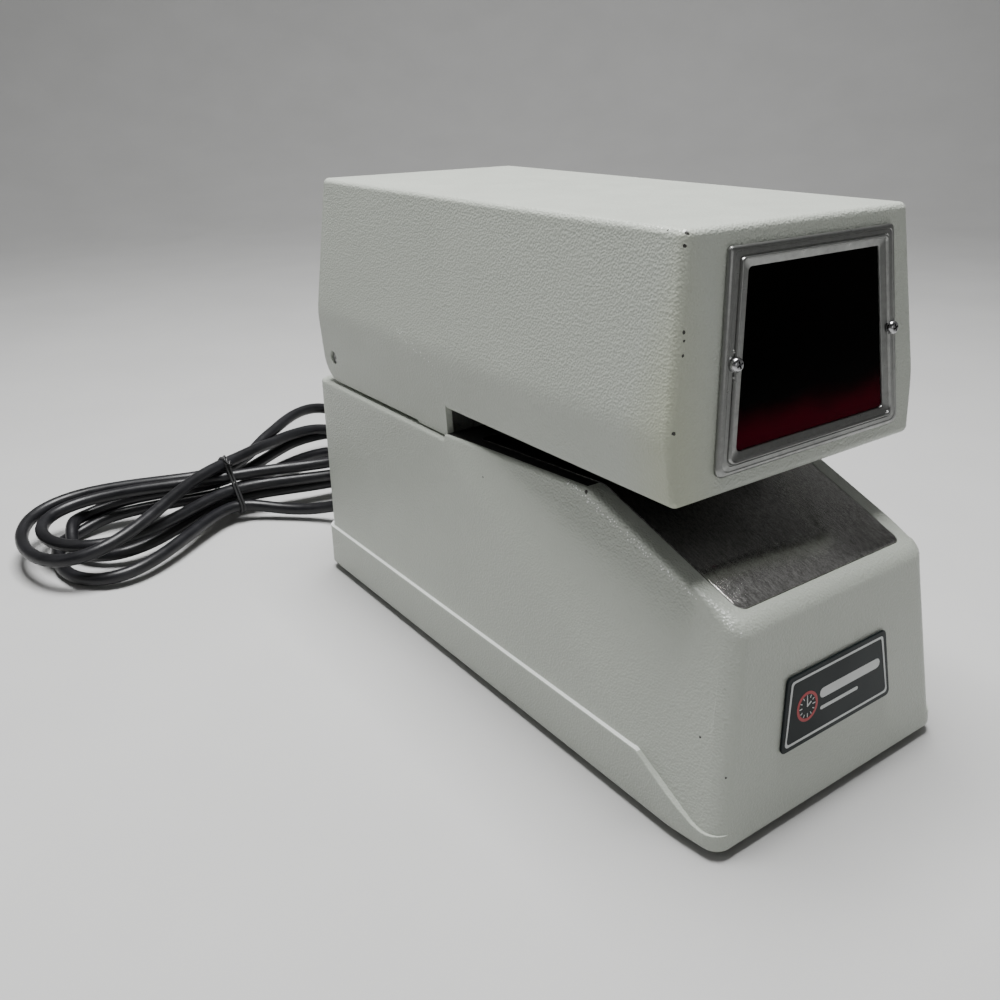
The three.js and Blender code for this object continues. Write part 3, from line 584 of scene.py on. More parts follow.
def b_spline(points, per=6):
    """A smooth line drawn by those points, through the first and the last."""
    p = np.array(points, float)
    p = np.vstack([2 * p[0] - p[1], p, 2 * p[-1] - p[-2]])
    line = []
    for i in range(1, len(p) - 2):
        a, b, c, d = p[i - 1:i + 3]
        for t in np.linspace(0, 1, per, endpoint=False):
            near = (3 * t ** 3 - 6 * t * t + 4) * b + (-3 * t ** 3 + 3 * t * t + 3 * t + 1) * c
            line.append(((1 - t) ** 3 * a + near + t ** 3 * d) / 6)
    line.append(p[-2])
    return np.array(line)


def evenly(line, step):
    lengths = np.linalg.norm(np.diff(line, axis=0), axis=1)
    at = np.concatenate([[0], np.cumsum(lengths)])
    wanted = np.linspace(0, at[-1], math.ceil(at[-1] / step) + 1)
    return np.stack([np.interp(wanted, at, line[:, k]) for k in range(3)], 1)


def settle(line, rounds=120, fixed_start=10, fixed_end=3, stiffness=0.25):
    """Pushes strands that lie in each other apart, mostly up and down, and smooths the cord as it bends."""
    p = line.copy()
    count = len(p)
    place = np.arange(count)
    apart = np.abs(place[:, None] - place[None]) > math.ceil(STRAND_GAP * 2.2 / CORD_STEP)
    free = np.ones((count, 1))
    free[:fixed_start] = 0
    free[-fixed_end:] = 0
    for _ in range(rounds):
        far = np.linalg.norm(p[:, None] - p[None], axis=2)
        i, j = np.where(apart & (far < STRAND_GAP))
        between = p[i] - p[j]
        length = np.maximum(far[i, j], 1e-6)[:, None]
        way = between / length * (0.6, 0.6, 1.0)
        over = np.sign(line[i, 2] - line[j, 2] + np.where(i > j, 5e-4, -5e-4))
        way[:, 2] += np.where(np.abs(between[:, 2]) < 1.0, 0.7 * over, 0)
        way /= np.linalg.norm(way, axis=1)[:, None]
        push = np.zeros_like(p)
        np.add.at(push, i, way * (STRAND_GAP - length) * 0.35)
        push /= np.maximum(np.bincount(i, minlength=count), 1)[:, None] ** 0.5
        p += push * free
        smooth = p.copy()
        smooth[2:-2] = (-p[:-4] + 4 * p[1:-3] + 4 * p[3:-1] - p[4:]) / 6
        p += (smooth - p) * stiffness * free
        p[:, 2] = np.maximum(p[:, 2], CORD_RADIUS + 0.05)
    return p


def cord_material():
    made = Nodes("cord_rubber", (0.008, 0.008, 0.009), 0.36, Specular_IOR_Level=0.35)
    broad = made.noise(40, 4)
    made.colour(made.ramp(broad, (0.35, (0.005, 0.005, 0.006)), (0.7, (0.011, 0.011, 0.013))))
    made.rough(made.ramp(made.noise(160, 4), (0.3, 0.28), (0.7, 0.44)))
    made.bump(made.noise(520, 3), 0.06, 0.5)
    return made.material


def round_curve(name, radius, resolution):
    data = bpy.data.curves.new(name, "CURVE")
    data.dimensions = "3D"
    data.bevel_depth = radius * MM
    data.bevel_resolution = resolution
    return data


def add_spline(data, kind, places):
    """A line of the curve, by its points in millimetres."""
    spline = data.splines.new(kind)
    spline.points.add(len(places) - 1)
    for point, place in zip(spline.points, places):
        point.co = (*(place * MM), 1)
    return spline


def make_cord():
    line = settle(evenly(b_spline(LEAD + hank_points() + TAIL), CORD_STEP))
    data = round_curve("mains_cord", CORD_RADIUS, 5)
    data.resolution_u = 3
    data.use_fill_caps = True
    spline = add_spline(data, "NURBS", line)
    spline.order_u = 4
    spline.use_endpoint_u = True
    cord = paint(placed("mains_cord", data), cord_material())
    stand_for(cord, "base", "cord", "cord_lead", "cord_hank", "cord_tail")
    return cord, line


def make_tie(line):
    """A twist tie: a thin flat band pulled round the strands at the waist, its ends twisted together."""
    turn = math.radians(TIE_ANGLE)
    along = Vector((math.cos(turn), math.sin(turn), 0))
    across = Vector((-math.sin(turn), math.cos(turn), 0))
    centre = Vector((*TIE_PLACE, 0))
    cuts = []
    for a, b in zip(line[:-1], line[1:]):
        u0, u1 = (Vector(a) - centre).dot(along), (Vector(b) - centre).dot(along)
        if u0 * u1 <= 0 and abs((Vector(a) - centre).dot(across)) < 30:
            p = Vector(a).lerp(Vector(b), u0 / (u0 - u1) if u0 != u1 else 0)
            cuts.append(((p - centre).dot(across), p.z))
    reach = CORD_RADIUS + 0.45
    hull = convex_hull([point for cut_at in cuts for point in circle(cut_at, reach, 24)])
    ring = [centre + across * v + Vector((0, 0, max(z, 0.6))) for v, z in hull]
    data = round_curve("cord_tie", 0.75, 3)
    for shift in (-0.9, 0.9):
        add_spline(data, "POLY", [place + along * shift for place in ring]).use_cyclic_u = True
    top = max(ring, key=lambda p: p.z - abs((p - centre).dot(across)) * 0.2)
    wide, count = 0.85, 24
    for phase in (0, math.pi):
        twist = []
        for k in range(count):
            t = k / (count - 1)
            angle = phase + 9 * t
            place = top + Vector((0, 0, 0.4)) + across * (-9 * t) + Vector((0, 0, -2.5 * t * t))
            twist.append(place + along * (wide * math.cos(angle)) + Vector((0, 0, wide * math.sin(angle))))
        add_spline(data, "POLY", twist)
    tie = paint(placed("cord_tie", data), plastic_material("tie_plastic", (0.02, 0.02, 0.021), 0.45))
    return stand_for(tie, "base", "cord")


def convex_hull(points):
    points = sorted(set((round(x, 4), round(y, 4)) for x, y in points))

    def half(sequence):
        chain = []
        for p in sequence:
            while len(chain) > 1:
                (ax, ay), (bx, by) = chain[-2:]
                if (bx - ax) * (p[1] - ay) - (by - ay) * (p[0] - ax) > 0:
                    break
                chain.pop()
            chain.append(p)
        return chain[:-1]

    return half(points) + half(points[::-1])


# ------------------------------------------------------------------ base casting
def leaning_half(y, z):
    """Half width of the leaning front part of the casting's sides: one plane through three points."""
    seat = Vector((WALL_HALF, NOTCH_Y, PARTING_Z))
    bend = Vector((WALL_HALF, LEDGE_BEND_Y, LEDGE_Z))
    rim = Vector((RIM_HALF, RIM_Y, RIM_Z))
    normal = (bend - seat).cross(rim - seat)
    return seat.x - (normal.y * (y - seat.y) + normal.z * (z - seat.z)) / normal.x


def side_half(y, z):
    """Half width of the casting above the skirt, with a soft crease where its side starts to lean."""
    return smooth_min(WALL_HALF, leaning_half(y, z), 0.25)


def ledge_z(y):
    """Height of the skirt's ledge: level, and in front of its bend a slanting line down to the toe."""
    fall = (LEDGE_Z - LEDGE_TOE_Z) / (LEDGE_BEND_Y + BASE_HALF)
    return smooth_min(LEDGE_Z, LEDGE_Z - fall * (LEDGE_BEND_Y - y), 0.12)


def skirt_half(y, z):
    """Half width of the skirt, which fades into the casting's side at the toe."""
    at_ledge = side_half(y, ledge_z(y)) + 0.5
    return mix(at_ledge, SKIRT_HALF, smooth_step(-BASE_HALF, -BASE_HALF + 24, y))


def front_y(z):
    return -BASE_HALF + (z - FOOT_GAP) * (RIM_Y + BASE_HALF) / (RIM_Z - FOOT_GAP)


STEP_Y = NOTCH_Y - 0.25


def top_z(y):
    """Height of the casting's upper edge along its length."""
    if y > STEP_Y:
        return PARTING_Z
    slope = (DECK_Z - RIM_Z) / (BEND_Y - RIM_Y)
    return smooth_min(DECK_Z, DECK_Z - slope * (BEND_Y - y), 0.35)


def rim_radius(y):
    """The rim's rounding: tight under the cover, wide along the slope."""
    return mix(mix(1.2, 2.0, smooth_step(-STEP_Y, 0, -y)), 4.6, smooth_step(112, 127, -y))


CORNER_STEPS = 9
BASE_CORNER = 7.0
FRONT_STEPS = 14


def mirrored(right):
    """A closed outline from its right half, which starts and ends on the middle line."""
    return right + [(-x, y, z) for x, y, z in right[1:-1]][::-1]


def base_side_places():
    """Where the casting's side has its points, from front to rear."""
    places = [-131 + 2.6 * i for i in range(1, 27)] + [BEND_Y]
    places += [LEDGE_BEND_Y - 1.2, LEDGE_BEND_Y, LEDGE_BEND_Y + 1.2]
    places += [BEND_Y + 2.65 * i for i in range(1, 29)]
    places += [15.5, 17.5, 19.2, 20.2, STEP_Y - 0.1, STEP_Y + 0.1, 21.4, 22.2]
    places += [24 + 3.6 * i for i in range(0, 30)]
    return sorted(set(round(p, 2) for p in places if p < BASE_HALF - BASE_CORNER - 1))


SIDE_PLACES = base_side_places()


def base_outline(height, inset=0.0, half=side_half):
    """Points round the casting from the middle of its front, on the right, then the left.

    The height is a function of y, the inset moves the outline inwards in plan, and half
    gives the half width at a place and height.
    """
    right = []
    face_z = height(RIM_Y)
    face = front_y(face_z)
    centre_y = face + BASE_CORNER
    lean = (half(centre_y + 1, face_z) - half(centre_y - 1, face_z)) / 2
    stretch = math.sqrt(1 + lean * lean)
    centre_x = half(centre_y, face_z) - BASE_CORNER * stretch
    for i in range(FRONT_STEPS):
        right.append((centre_x * i / FRONT_STEPS, face + inset, face_z))
    radius = max(BASE_CORNER - inset, 0.4)
    pull = max(inset - BASE_CORNER + 0.4, 0)
    for i in range(CORNER_STEPS + 1):
        angle = mix(-math.pi / 2, -math.atan(lean), i / CORNER_STEPS)
        x = centre_x - pull + radius * math.cos(angle)
        y = centre_y + pull + radius * math.sin(angle)
        right.append((x, y, height(max(y, RIM_Y))))
    first = right[-1][1]
    rear_centre = BASE_HALF - BASE_CORNER
    for place in SIDE_PLACES:
        y = max(place, first + 0.02 * (place + 140))
        z = height(y)
        right.append((half(y, z) - inset * stretch, y, z))
    z = height(rear_centre)
    wide = half(rear_centre, z) - BASE_CORNER
    for i in range(CORNER_STEPS + 1):
        angle = math.pi / 2 * i / CORNER_STEPS
        x = wide - pull + radius * math.cos(angle)
        right.append((x, rear_centre - pull + radius * math.sin(angle), z))
    for i in range(1, FRONT_STEPS + 1):
        right.append((wide * (1 - i / FRONT_STEPS), BASE_HALF - inset, z))
    return mirrored(right)


def fill_across(verts, faces, start, count):
    """Fills a mirrored outline with strips from its right half to its left half."""
    for i in range(count // 2):
        a, b = start + i, start + i + 1
        c, d = start + (count - i - 1) % count, start + (count - i) % count
        if i == 0:
            faces.append((start, b, c))
        elif i == count // 2 - 1:
            faces.append((a, b, d))
        else:
            faces.append((a, b, c, d))


def rounded_steps(radius, steps):
    """Inset and drop of the points round an edge of that radius, from the wall to the top."""
    angles = [math.pi / 2 * i / steps for i in range(steps + 1)]
    return [(radius * (1 - math.cos(a)), radius * (1 - math.sin(a))) for a in angles]


def closed_mesh(name, rings, sharp=35.0):
    """A closed body from mirrored rings, its first and last ring filled across."""
    count = len(rings[0])
    verts, faces = loft(rings)
    fill_across(verts, faces, 0, count)
    fill_across(verts, faces, (len(rings) - 1) * count, count)
    return outward(new_object(name, verts, faces, sharp))


def outward(obj):
    """Turns every face of a closed mesh outwards."""
    work = bmesh.new()
    work.from_mesh(obj.data)
    bmesh.ops.recalc_face_normals(work, faces=work.faces)
    work.to_mesh(obj.data)
    work.free()
    return obj


def squeeze_rear(ring, rear_y):
    """Moves a ring's points behind a line onto it, so what is behind the line becomes a flat step."""
    count = len(ring)
    behind = [i for i in range(count // 2 + 1) if ring[i][1] > rear_y]
    first = behind[0]
    moved = list(ring)
    edge = ring[first - 1][0]
    for i in behind:
        share = (i - first) / (count // 2 - first)
        x = edge * (1 - share)
        z = ring[first - 1][2]
        moved[i] = (x, rear_y, z)
        moved[(count - i) % count] = (-x, rear_y, z)
    return moved


def plate_outline(grow, drop, corner=3.6):
    """The throat plate's outline, with as many points as the casting's, lying on the throat's floor."""
    front, rear = PLATE_FRONT_Y - grow, PLATE_REAR_Y + grow

    def floor_z(y):
        return top_z(y) - drop

    def half(y):
        return leaning_half(y, top_z(min(y, NOTCH_Y))) - PLATE_INSET + grow

    right = []
    wide = half(front + corner) - corner
    for i in range(FRONT_STEPS):
        right.append((wide * i / FRONT_STEPS, front, floor_z(front)))
    for i in range(CORNER_STEPS + 1):
        angle = mix(-math.pi / 2, 0, i / CORNER_STEPS)
        y = front + corner + corner * math.sin(angle)
        right.append((wide + corner * math.cos(angle), y, floor_z(y)))
    for place in SIDE_PLACES:
        if place < rear - corner:
            y = max(place, front + corner + 0.02 * (place + 140))
            right.append((half(y), y, floor_z(y)))
    left_over = len(base_outline(top_z)) // 2 + 1 - len(right)
    rear_wide = half(rear) - corner
    turned = 8
    for i in range(1, turned + 1):
        angle = math.pi / 2 * i / turned
        y = rear - corner + corner * math.sin(angle)
        right.append((rear_wide + corner * math.cos(angle), y, floor_z(y)))
    for i in range(1, left_over - turned + 1):
        right.append((rear_wide * (1 - i / (left_over - turned)), rear, floor_z(rear)))
    return mirrored(right)


FOOT_RADIUS = 2.2
WALL_LEVELS = 30
RIM_INSET = 5.0
# Across the ledge: how far in from the skirt to the wall, and how high above the ledge.
LEDGE_STEPS = ((0.0, -0.3), (0.03, -0.14), (0.09, -0.03), (0.15, 0.0), (0.2, 0.0),
               (0.86, 0.0), (0.91, 0.0), (0.97, 0.06), (1.0, 0.25))


def foot_share(y):
    """How much of its full height the foot's rounding has, less where the ledge comes down to the toe."""
    return min(1.0, (ledge_z(y) - FOOT_GAP - 0.3) / (FOOT_RADIUS + 0.8))


def make_base():
    inner_top = [base_outline(lambda y: top_z(y) - BASE_WALL, BASE_WALL)]
    inner = [level_ring(z, BASE_WALL) for z in (60.0, 30.0, LEDGE_Z - BASE_WALL, 12.0, FOOT_GAP + 0.6)]
    foot = [level_ring(FOOT_GAP, BASE_WALL - 0.6)]
    low = [base_outline(lambda y, d=drop: FOOT_GAP + d * foot_share(y), inset, skirt_half)
           for inset, drop in rounded_steps(FOOT_RADIUS, 5)][::-1]
    skirt = []
    for i in range(1, 6):
        def skirt_z(y, t=i / 5):
            return mix(FOOT_GAP + FOOT_RADIUS * foot_share(y), ledge_z(y) - 0.7 * foot_share(y), t)
        skirt.append(base_outline(skirt_z, 0.0, skirt_half))
    outer = base_outline(ledge_z, 0.0, skirt_half)
    wall = base_outline(ledge_z)
    for share, rise in LEDGE_STEPS:
        skirt.append([(mix(a[0], b[0], share), mix(a[1], b[1], share), a[2] + rise * foot_share(a[1]))
                      for a, b in zip(outer, wall)])
    walls = []
    for i in range(1, WALL_LEVELS + 1):
        def wall_z(y, t=i / WALL_LEVELS):
            return mix(ledge_z(y) + LEDGE_STEPS[-1][1] * foot_share(y), top_z(y) - rim_radius(y), t)
        walls.append(base_outline(wall_z))
    rim = [rim_ring(inward, down) for inward, down in rounded_steps(1, 6)[1:]]
    rear_low = squeeze_rear(rim[-1], STEP_Y + 0.15)
    lifted = [(x, min(y, STEP_Y), DECK_Z if y > STEP_Y else z) for x, y, z in rear_low]
    recess = [plate_outline(0.5, 0.0, 4.0), plate_outline(0.3, 0.2, 3.8), plate_outline(0.3, 2.0, 3.8)]
    rings = inner_top + inner + foot + low + skirt + walls + rim + [rear_low, lifted] + recess
    base = closed_mesh("base_shell", rings, 40)
    well = box("well", (-24, -58, DECK_Z - 12), (24, -42, DECK_Z + 5))
    wire_hole = box("wire_hole", (-16, 62, PARTING_Z - 12), (16, 92, PARTING_Z + 3))
    cord_hole = lathe("cord_hole", [(6.2, 130), (6.2, 145)], "y", 32, (CORD_X, 0, CORD_Z))
    cut(base, well, wire_hole, cord_hole, sharp=40)
    paint(base, PAINT, LEDGE_PAINTED_HIGHLIGHT, DECK_PAINTED_SHADE)
    for polygon in base.data.polygons:
        middle = polygon.center / MM
        # Up-facing ledge faces take a near-white enamel: a painted highlight for the lit ledge.
        if polygon.normal.z > 0.9 and abs(middle.x) > 40 and abs(middle.z - ledge_z(middle.y)) < 0.7:
            polygon.material_index = 1
        # The deck under the cover takes flat black: painted shade for the dark gap under the head.
        under_cover = BEND_Y + 3 < middle.y < STEP_Y and abs(middle.z - DECK_Z) < 0.5
        if under_cover and abs(middle.x) < leaning_half(middle.y, DECK_Z) - 2.2:
            polygon.material_index = 2
    stand_for(base, "base", "paint", "base_casting")


def level_ring(z, inset=0.0):
    return base_outline(lambda y: z, inset)


def rim_ring(inward, down):
    """A ring round the rim's rounding: shares of the radius inwards and down from the top."""
    outer, inner = (base_outline(lambda y: top_z(y) - rim_radius(y), inset) for inset in (0.0, RIM_INSET))
    ring = []
    for a, b in zip(outer, inner):
        radius = rim_radius(a[1])
        share = inward * radius / RIM_INSET
        y = mix(a[1], b[1], share)
        ring.append((mix(a[0], b[0], share), y, top_z(max(y, RIM_Y)) - down * radius))
    return ring


# ------------------------------------------------------------------ head cover
HEAD_CORNER = 2.9
HEAD_TOP_RADIUS = 2.8
LOWER_BAND_Z = 126.0


def head_half(z):
    upper = mix(HEAD_TOP_HALF, HEAD_CREASE_HALF, (HEAD_TOP_Z - z) / (HEAD_TOP_Z - CREASE_Z))
    lower = mix(HEAD_LOW_HALF, HEAD_CREASE_HALF, (z - HEAD_BOTTOM_Z) / (CREASE_Z - HEAD_BOTTOM_Z))
    return smooth_min(upper, lower, 0.35)


def head_front(z):
    return mix(FACE_LOW_Y, FACE_TOP_Y, (z - HEAD_BOTTOM_Z) / (HEAD_TOP_Z - HEAD_BOTTOM_Z))


def head_rear(z, inset):
    if z >= PIN_Z:
        return HEAD_REAR_Y - inset
    radius = CORNER_RADIUS - inset
    return PIN_Y + math.sqrt(max(radius ** 2 - (PIN_Z - z) ** 2, 0.01))


def head_low(y):
    """Height of the cover's lower edge along its length: high over the throat, low on the tab behind it."""
    if y < NOTCH_Y + 0.15:
        return HEAD_BOTTOM_Z
    return mix(PARTING_Z + 0.5, TAB_Z, smooth_step(TAB_STEP_Y - 0.3, TAB_STEP_Y + 0.3, y))


def head_places():
    places = [-104 + 4 * i for i in range(1, 31)]
    places += [-105.8, -105.2, -104.4, -103.4, -102.2]
    places += [18.5, 20.2, NOTCH_Y + 0.05, NOTCH_Y + 0.25, 22.5, 26, 30, 34, 38, 42]
    places += [TAB_STEP_Y - 0.35, TAB_STEP_Y, TAB_STEP_Y + 0.35, 47.5]
    places += [51 + 4 * i for i in range(0, 19)]
    return sorted(set(round(p, 2) for p in places if not 17 < p < 18))


HEAD_PLACES = head_places()


# Where the front has its points, from the middle to the corner, closer together near the corner.
HEAD_SHARES = [i / 10 for i in range(9)] + [0.87, 0.92, 0.95, 0.97, 0.985, 0.995]
FRONT_EDGE = 2.9
BACK_EDGE = 0.9


def head_outline(height, inset=0.0, behind=None):
    """Points round the cover from the middle of its front; it can be set in less behind the throat."""
    behind = inset if behind is None else behind
    right = []
    front_z = height(FACE_LOW_Y)
    face = head_front(front_z) + inset
    radius = max(HEAD_CORNER - inset, 0.5)
    wide = head_half(front_z) - inset - radius
    for share in HEAD_SHARES:
        right.append((wide * share, face, front_z))
    for i in range(CORNER_STEPS + 1):
        angle = -math.pi / 2 * (1 - i / CORNER_STEPS)
        y = face + radius + radius * math.sin(angle)
        z = height(y)
        right.append((head_half(z) - inset - radius + radius * math.cos(angle), y, z))
    first = face + radius
    back_radius = max(HEAD_CORNER - behind, 0.5)
    last = head_rear(height(120), behind) - back_radius
    for place in HEAD_PLACES:
        y = max(place, first + 0.02 * (place + 110))
        y = min(y, last - 0.02 * (140 - place))
        z = height(y)
        right.append((head_half(z) - (inset if y < NOTCH_Y + 0.15 else behind), y, z))
    z = height(125)
    rear = head_rear(z, behind)
    wide = head_half(z) - behind - back_radius
    for i in range(CORNER_STEPS + 1):
        angle = math.pi / 2 * i / CORNER_STEPS
        y = rear - back_radius + back_radius * math.sin(angle)
        right.append((wide + back_radius * math.cos(angle), y, z))
    for i in range(1, FRONT_STEPS + 1):
        right.append((wide * (1 - i / FRONT_STEPS), rear, z))
    return mirrored(right)


def edge_radius(y):
    """The cover's lower edge is rolled inward round the throat, and only broken behind it."""
    return FRONT_EDGE if y < NOTCH_Y + 0.15 else BACK_EDGE


def edge_ring(turn):
    def height(y):
        return head_low(y) + edge_radius(y) * (1 - math.cos(turn))
    set_in = 1 - math.sin(turn)
    return head_outline(height, FRONT_EDGE * set_in, BACK_EDGE * set_in)


def band_ring(t, inset, rolled=True):
    def height(y):
        return mix(head_low(y) + (edge_radius(y) if rolled else 0.5), LOWER_BAND_Z, t)
    return head_outline(height, inset)


def flat_ring(z, inset):
    return head_outline(lambda y: z, inset)


def make_head():
    edge_z = HEAD_TOP_Z - HEAD_TOP_RADIUS
    levels = [z for z in (LOWER_BAND_Z + 2.5 * i for i in range(1, 29)) if z < edge_z - 1] + [edge_z]
    outer = [edge_ring(math.pi / 2 * i / 6) for i in range(7)]
    outer += [band_ring(i / 10, 0.0) for i in range(1, 11)]
    outer += [flat_ring(z, 0.0) for z in levels]
    rounding = rounded_steps(HEAD_TOP_RADIUS, 7)[1:]
    top = [head_outline_at(edge_z, inset, HEAD_TOP_Z - drop) for inset, drop in rounding]
    inner_top = HEAD_TOP_Z - COVER_WALL
    inner = [head_outline_at(inner_top - 2, COVER_WALL + 2, inner_top), flat_ring(inner_top - 2, COVER_WALL)]
    inner += [flat_ring(z, COVER_WALL) for z in (175.0, 150.0, CREASE_Z, 132.0)]
    inner += [band_ring(t, COVER_WALL, rolled=False) for t in (1.0, 0.6, 0.3, 0.0)]
    head = closed_mesh("head_shell", inner + outer + top, 38)
    cuts = [window_cut()]
    cuts += [lathe("lock_bore", [(LOCK_BORE, 40), (LOCK_BORE, 80)], "x", 48, (0, *LOCK_PLACE[1:]))]
    cuts += [lathe("pin_bore", [(PIN_BORE, -80), (PIN_BORE, 80)], "x", 40, (0, PIN_Y, PIN_Z))]
    for side in (-1, 1):
        near, far = sorted((side * SLOT_NEAR, side * SLOT_FAR))
        cuts.append(box("hinge_slot", (near, PIN_Y - 8, 100), (far, 140, PIN_Z + 2)))
    cut(head, *cuts, sharp=38, thorough=True)
    stand_for(paint(head, PAINT), "cover", "paint", "head_cover")


def head_outline_at(z, inset, height):
    """An outline taken at one height and laid at another, for the rounding of the top edge."""
    return [(x, y, height) for x, y, _ in flat_ring(z, inset)]


# ------------------------------------------------------------------ pieces on the two leaning faces
def face_point(face, x, up, out):
    """A point on a leaning front face: across it, up it from its lower edge, and out of it."""
    (low_y, low_z), (top_y, top_z_) = face
    length = math.hypot(top_y - low_y, top_z_ - low_z)
    run_y, run_z = (top_y - low_y) / length, (top_z_ - low_z) / length
    return (x, low_y + run_y * up - run_z * out, low_z + run_z * up + run_y * out)


def on_face(face, shape, out):
    """An outline of points across and up, laid that far out of a face."""
    return [face_point(face, x, up, out) for x, up in shape]


def circle(centre, radius, steps):
    return [(centre[0] + radius * math.cos(t), centre[1] + radius * math.sin(t)) for t in turns(steps)]


HEAD_FACE = ((FACE_LOW_Y, HEAD_BOTTOM_Z), (FACE_TOP_Y, HEAD_TOP_Z))
BASE_FACE = ((-BASE_HALF, FOOT_GAP), (RIM_Y, RIM_Z))


def up_face(face, z):
    (low_y, low_z), (top_y, top_z_) = face
    return (z - low_z) * math.hypot(top_y - low_y, top_z_ - low_z) / (top_z_ - low_z)


CORNER_POINTS = 8


def face_shape(face, size, centre, grow, radius):
    """A rounded trapezoid on a face, as points across and up, counter-clockwise from the lower left.

    The radius is that of the lower corners and that of the upper ones.
    """
    low, top = up_face(face, size["low_z"]) - grow, up_face(face, size["top_z"]) + grow
    corners = [(-size["low_half"] - grow, low), (size["low_half"] + grow, low),
               (size["top_half"] + grow, top), (-size["top_half"] - grow, top)]
    points = []
    for i, corner in enumerate(corners):
        before, here, after = (Vector(corners[(i + k) % 4]) for k in (-1, 0, 1))
        into, away = (here - before).normalized(), (after - here).normalized()
        turn = into.angle(away)
        round_by = radius[i // 2]
        back = round_by * math.tan(turn / 2)
        start = here - into * back
        normal = Vector((-into.y, into.x))
        middle = start + normal * round_by
        for k in range(CORNER_POINTS + 1):
            angle = turn * k / CORNER_POINTS
            point = middle + (into * math.sin(angle) - normal * math.cos(angle)) * round_by
            points.append((centre + point.x, point.y))
    return points


def fine_edges(points, per_side=10):
    """Adds points along the straight runs between the rounded corners."""
    count = len(points)
    result = []
    for i, point in enumerate(points):
        result.append(point)
        if i % (CORNER_POINTS + 1) == CORNER_POINTS:
            after = points[(i + 1) % count]
            for k in range(1, per_side):
                t = k / per_side
                result.append((mix(point[0], after[0], t), mix(point[1], after[1], t)))
    return result


def window_cut():
    shape = face_shape(HEAD_FACE, OPENING, WINDOW_X, 3.0, (3.5, 3.5))
    return outward(solid("window_cut", [on_face(HEAD_FACE, shape, out) for out in (6.0, -8.0)]))


def between(a, b, t):
    return [(mix(p[0], q[0], t), mix(p[1], q[1], t)) for p, q in zip(a, b)]


def make_bezel():
    """A pressed aluminium surround: a soft outer roll, a groove, a fine ridge and a flat inner band."""
    profile = [
        (0.00, 0.0), (0.00, 0.7), (0.03, 1.1), (0.08, 1.45), (0.14, 1.62), (0.21, 1.66), (0.23, 1.45),
        (0.25, 1.45), (0.27, 1.62), (0.44, 1.7), (0.47, 1.3), (0.505, 1.3), (0.53, 2.2), (0.55, 2.42),
        (0.58, 2.5), (0.61, 2.42), (0.63, 2.2), (0.655, 1.6), (0.68, 1.5), (0.97, 1.25), (0.99, 1.15),
        (1.00, 0.95), (1.00, -0.6), (0.97, -0.6), (0.97, 0.0),
    ]
    outer = fine_edges(face_shape(HEAD_FACE, BEZEL, WINDOW_X, 0.0, (3.0, 1.6)))
    inner = fine_edges(face_shape(HEAD_FACE, OPENING, WINDOW_X, 0.0, (1.8, 1.6)))
    rings = [on_face(HEAD_FACE, between(outer, inner, share), out + 0.3) for share, out in profile]
    rings.append(rings[0])
    pieces = [paint(new_object("frame", *loft(rings), 24), BEZEL_METAL)]
    for side in (-1, 1):
        for above in (-3.9, 3.9):
            at = (WINDOW_X + side * screw_middle(), up_face(HEAD_FACE, SCREW_Z) + above)
            dome = ((0.75, 1.2), (0.72, 1.8), (0.6, 2.15), (0.35, 2.35), (0.1, 2.4))
            rings = [on_face(HEAD_FACE, circle(at, radius, 16), out) for radius, out in dome]
            dimple = solid("dimple", rings, 40)
            pieces.append(paint(dimple, BEZEL_METAL))
    stand_for(join_objects("bezel", pieces), "cover", "aluminium", "window_bezel")


def make_lens():
    rings = []
    for grow, out in ((2.3, -2.3), (2.5, -2.1), (2.5, -0.9), (2.3, -0.75), (-0.12, -0.7), (-0.15, 0.7),
                      (-0.3, 0.85), (-12.0, 0.85)):
        shape = face_shape(HEAD_FACE, OPENING, WINDOW_X, grow, (3.0, 3.0) if grow > 0 else (1.7, 1.5))
        rings.append(on_face(HEAD_FACE, shape, out))
    stand_for(paint(solid("lens", rings, 30), LENS), "cover", "red_lens", "window_lens")


def screw_middle():
    share = (SCREW_Z - OPENING["low_z"]) / (OPENING["top_z"] - OPENING["low_z"])
    inner = mix(OPENING["low_half"], OPENING["top_half"], share)
    outer = mix(BEZEL["low_half"], BEZEL["top_half"], share)
    return (inner + outer) / 2


def cross_screw(name, material, radius=2.5, high=2.2):
    """A pan-head screw with a cross recess, standing on z = 0."""
    profile = [(0, -3.0), (1.3, -3.0), (1.4, -2.6), (1.4, 0.0), (radius * 0.93, 0.0), (radius, 0.25)]
    for i in range(0, 9):
        angle = math.pi / 2 * i / 8
        profile.append((radius * (0.55 + 0.45 * math.cos(angle)), 0.3 + (high - 0.3) * math.sin(angle)))
    profile += [(radius * 0.3, high + 0.03), (0, high + 0.05)]
    screw = lathe(name, profile, "z", 40, sharp=50)
    cuts = []
    for turn in (0, math.pi / 2):
        long, thin = radius * 0.56, radius * 0.13
        blade = box("blade", (-long, -thin, high - 1.2), (long, thin, high + 2))
        blade.data.transform(Matrix.Rotation(turn + 0.35, 4, "Z"))
        cuts.append(blade)
    cut(screw, *cuts, sharp=35)
    return paint(screw, material)


def make_bezel_screws():
    for side, name in ((-1, "left"), (1, "right")):
        screw = cross_screw("screw_" + name, CHROME)
        at = face_point(HEAD_FACE, WINDOW_X + side * screw_middle(), up_face(HEAD_FACE, SCREW_Z), 2.2)
        tilt = math.atan2(FACE_TOP_Y - FACE_LOW_Y, HEAD_TOP_Z - HEAD_BOTTOM_Z)
        face_out = Matrix.Rotation(math.pi / 2 - tilt, 4, "X")
        screw.data.transform(Matrix.Translation(Vector(at) * MM) @ face_out)
        stand_for(screw, "cover", "chrome", "bezel_screw_" + name)


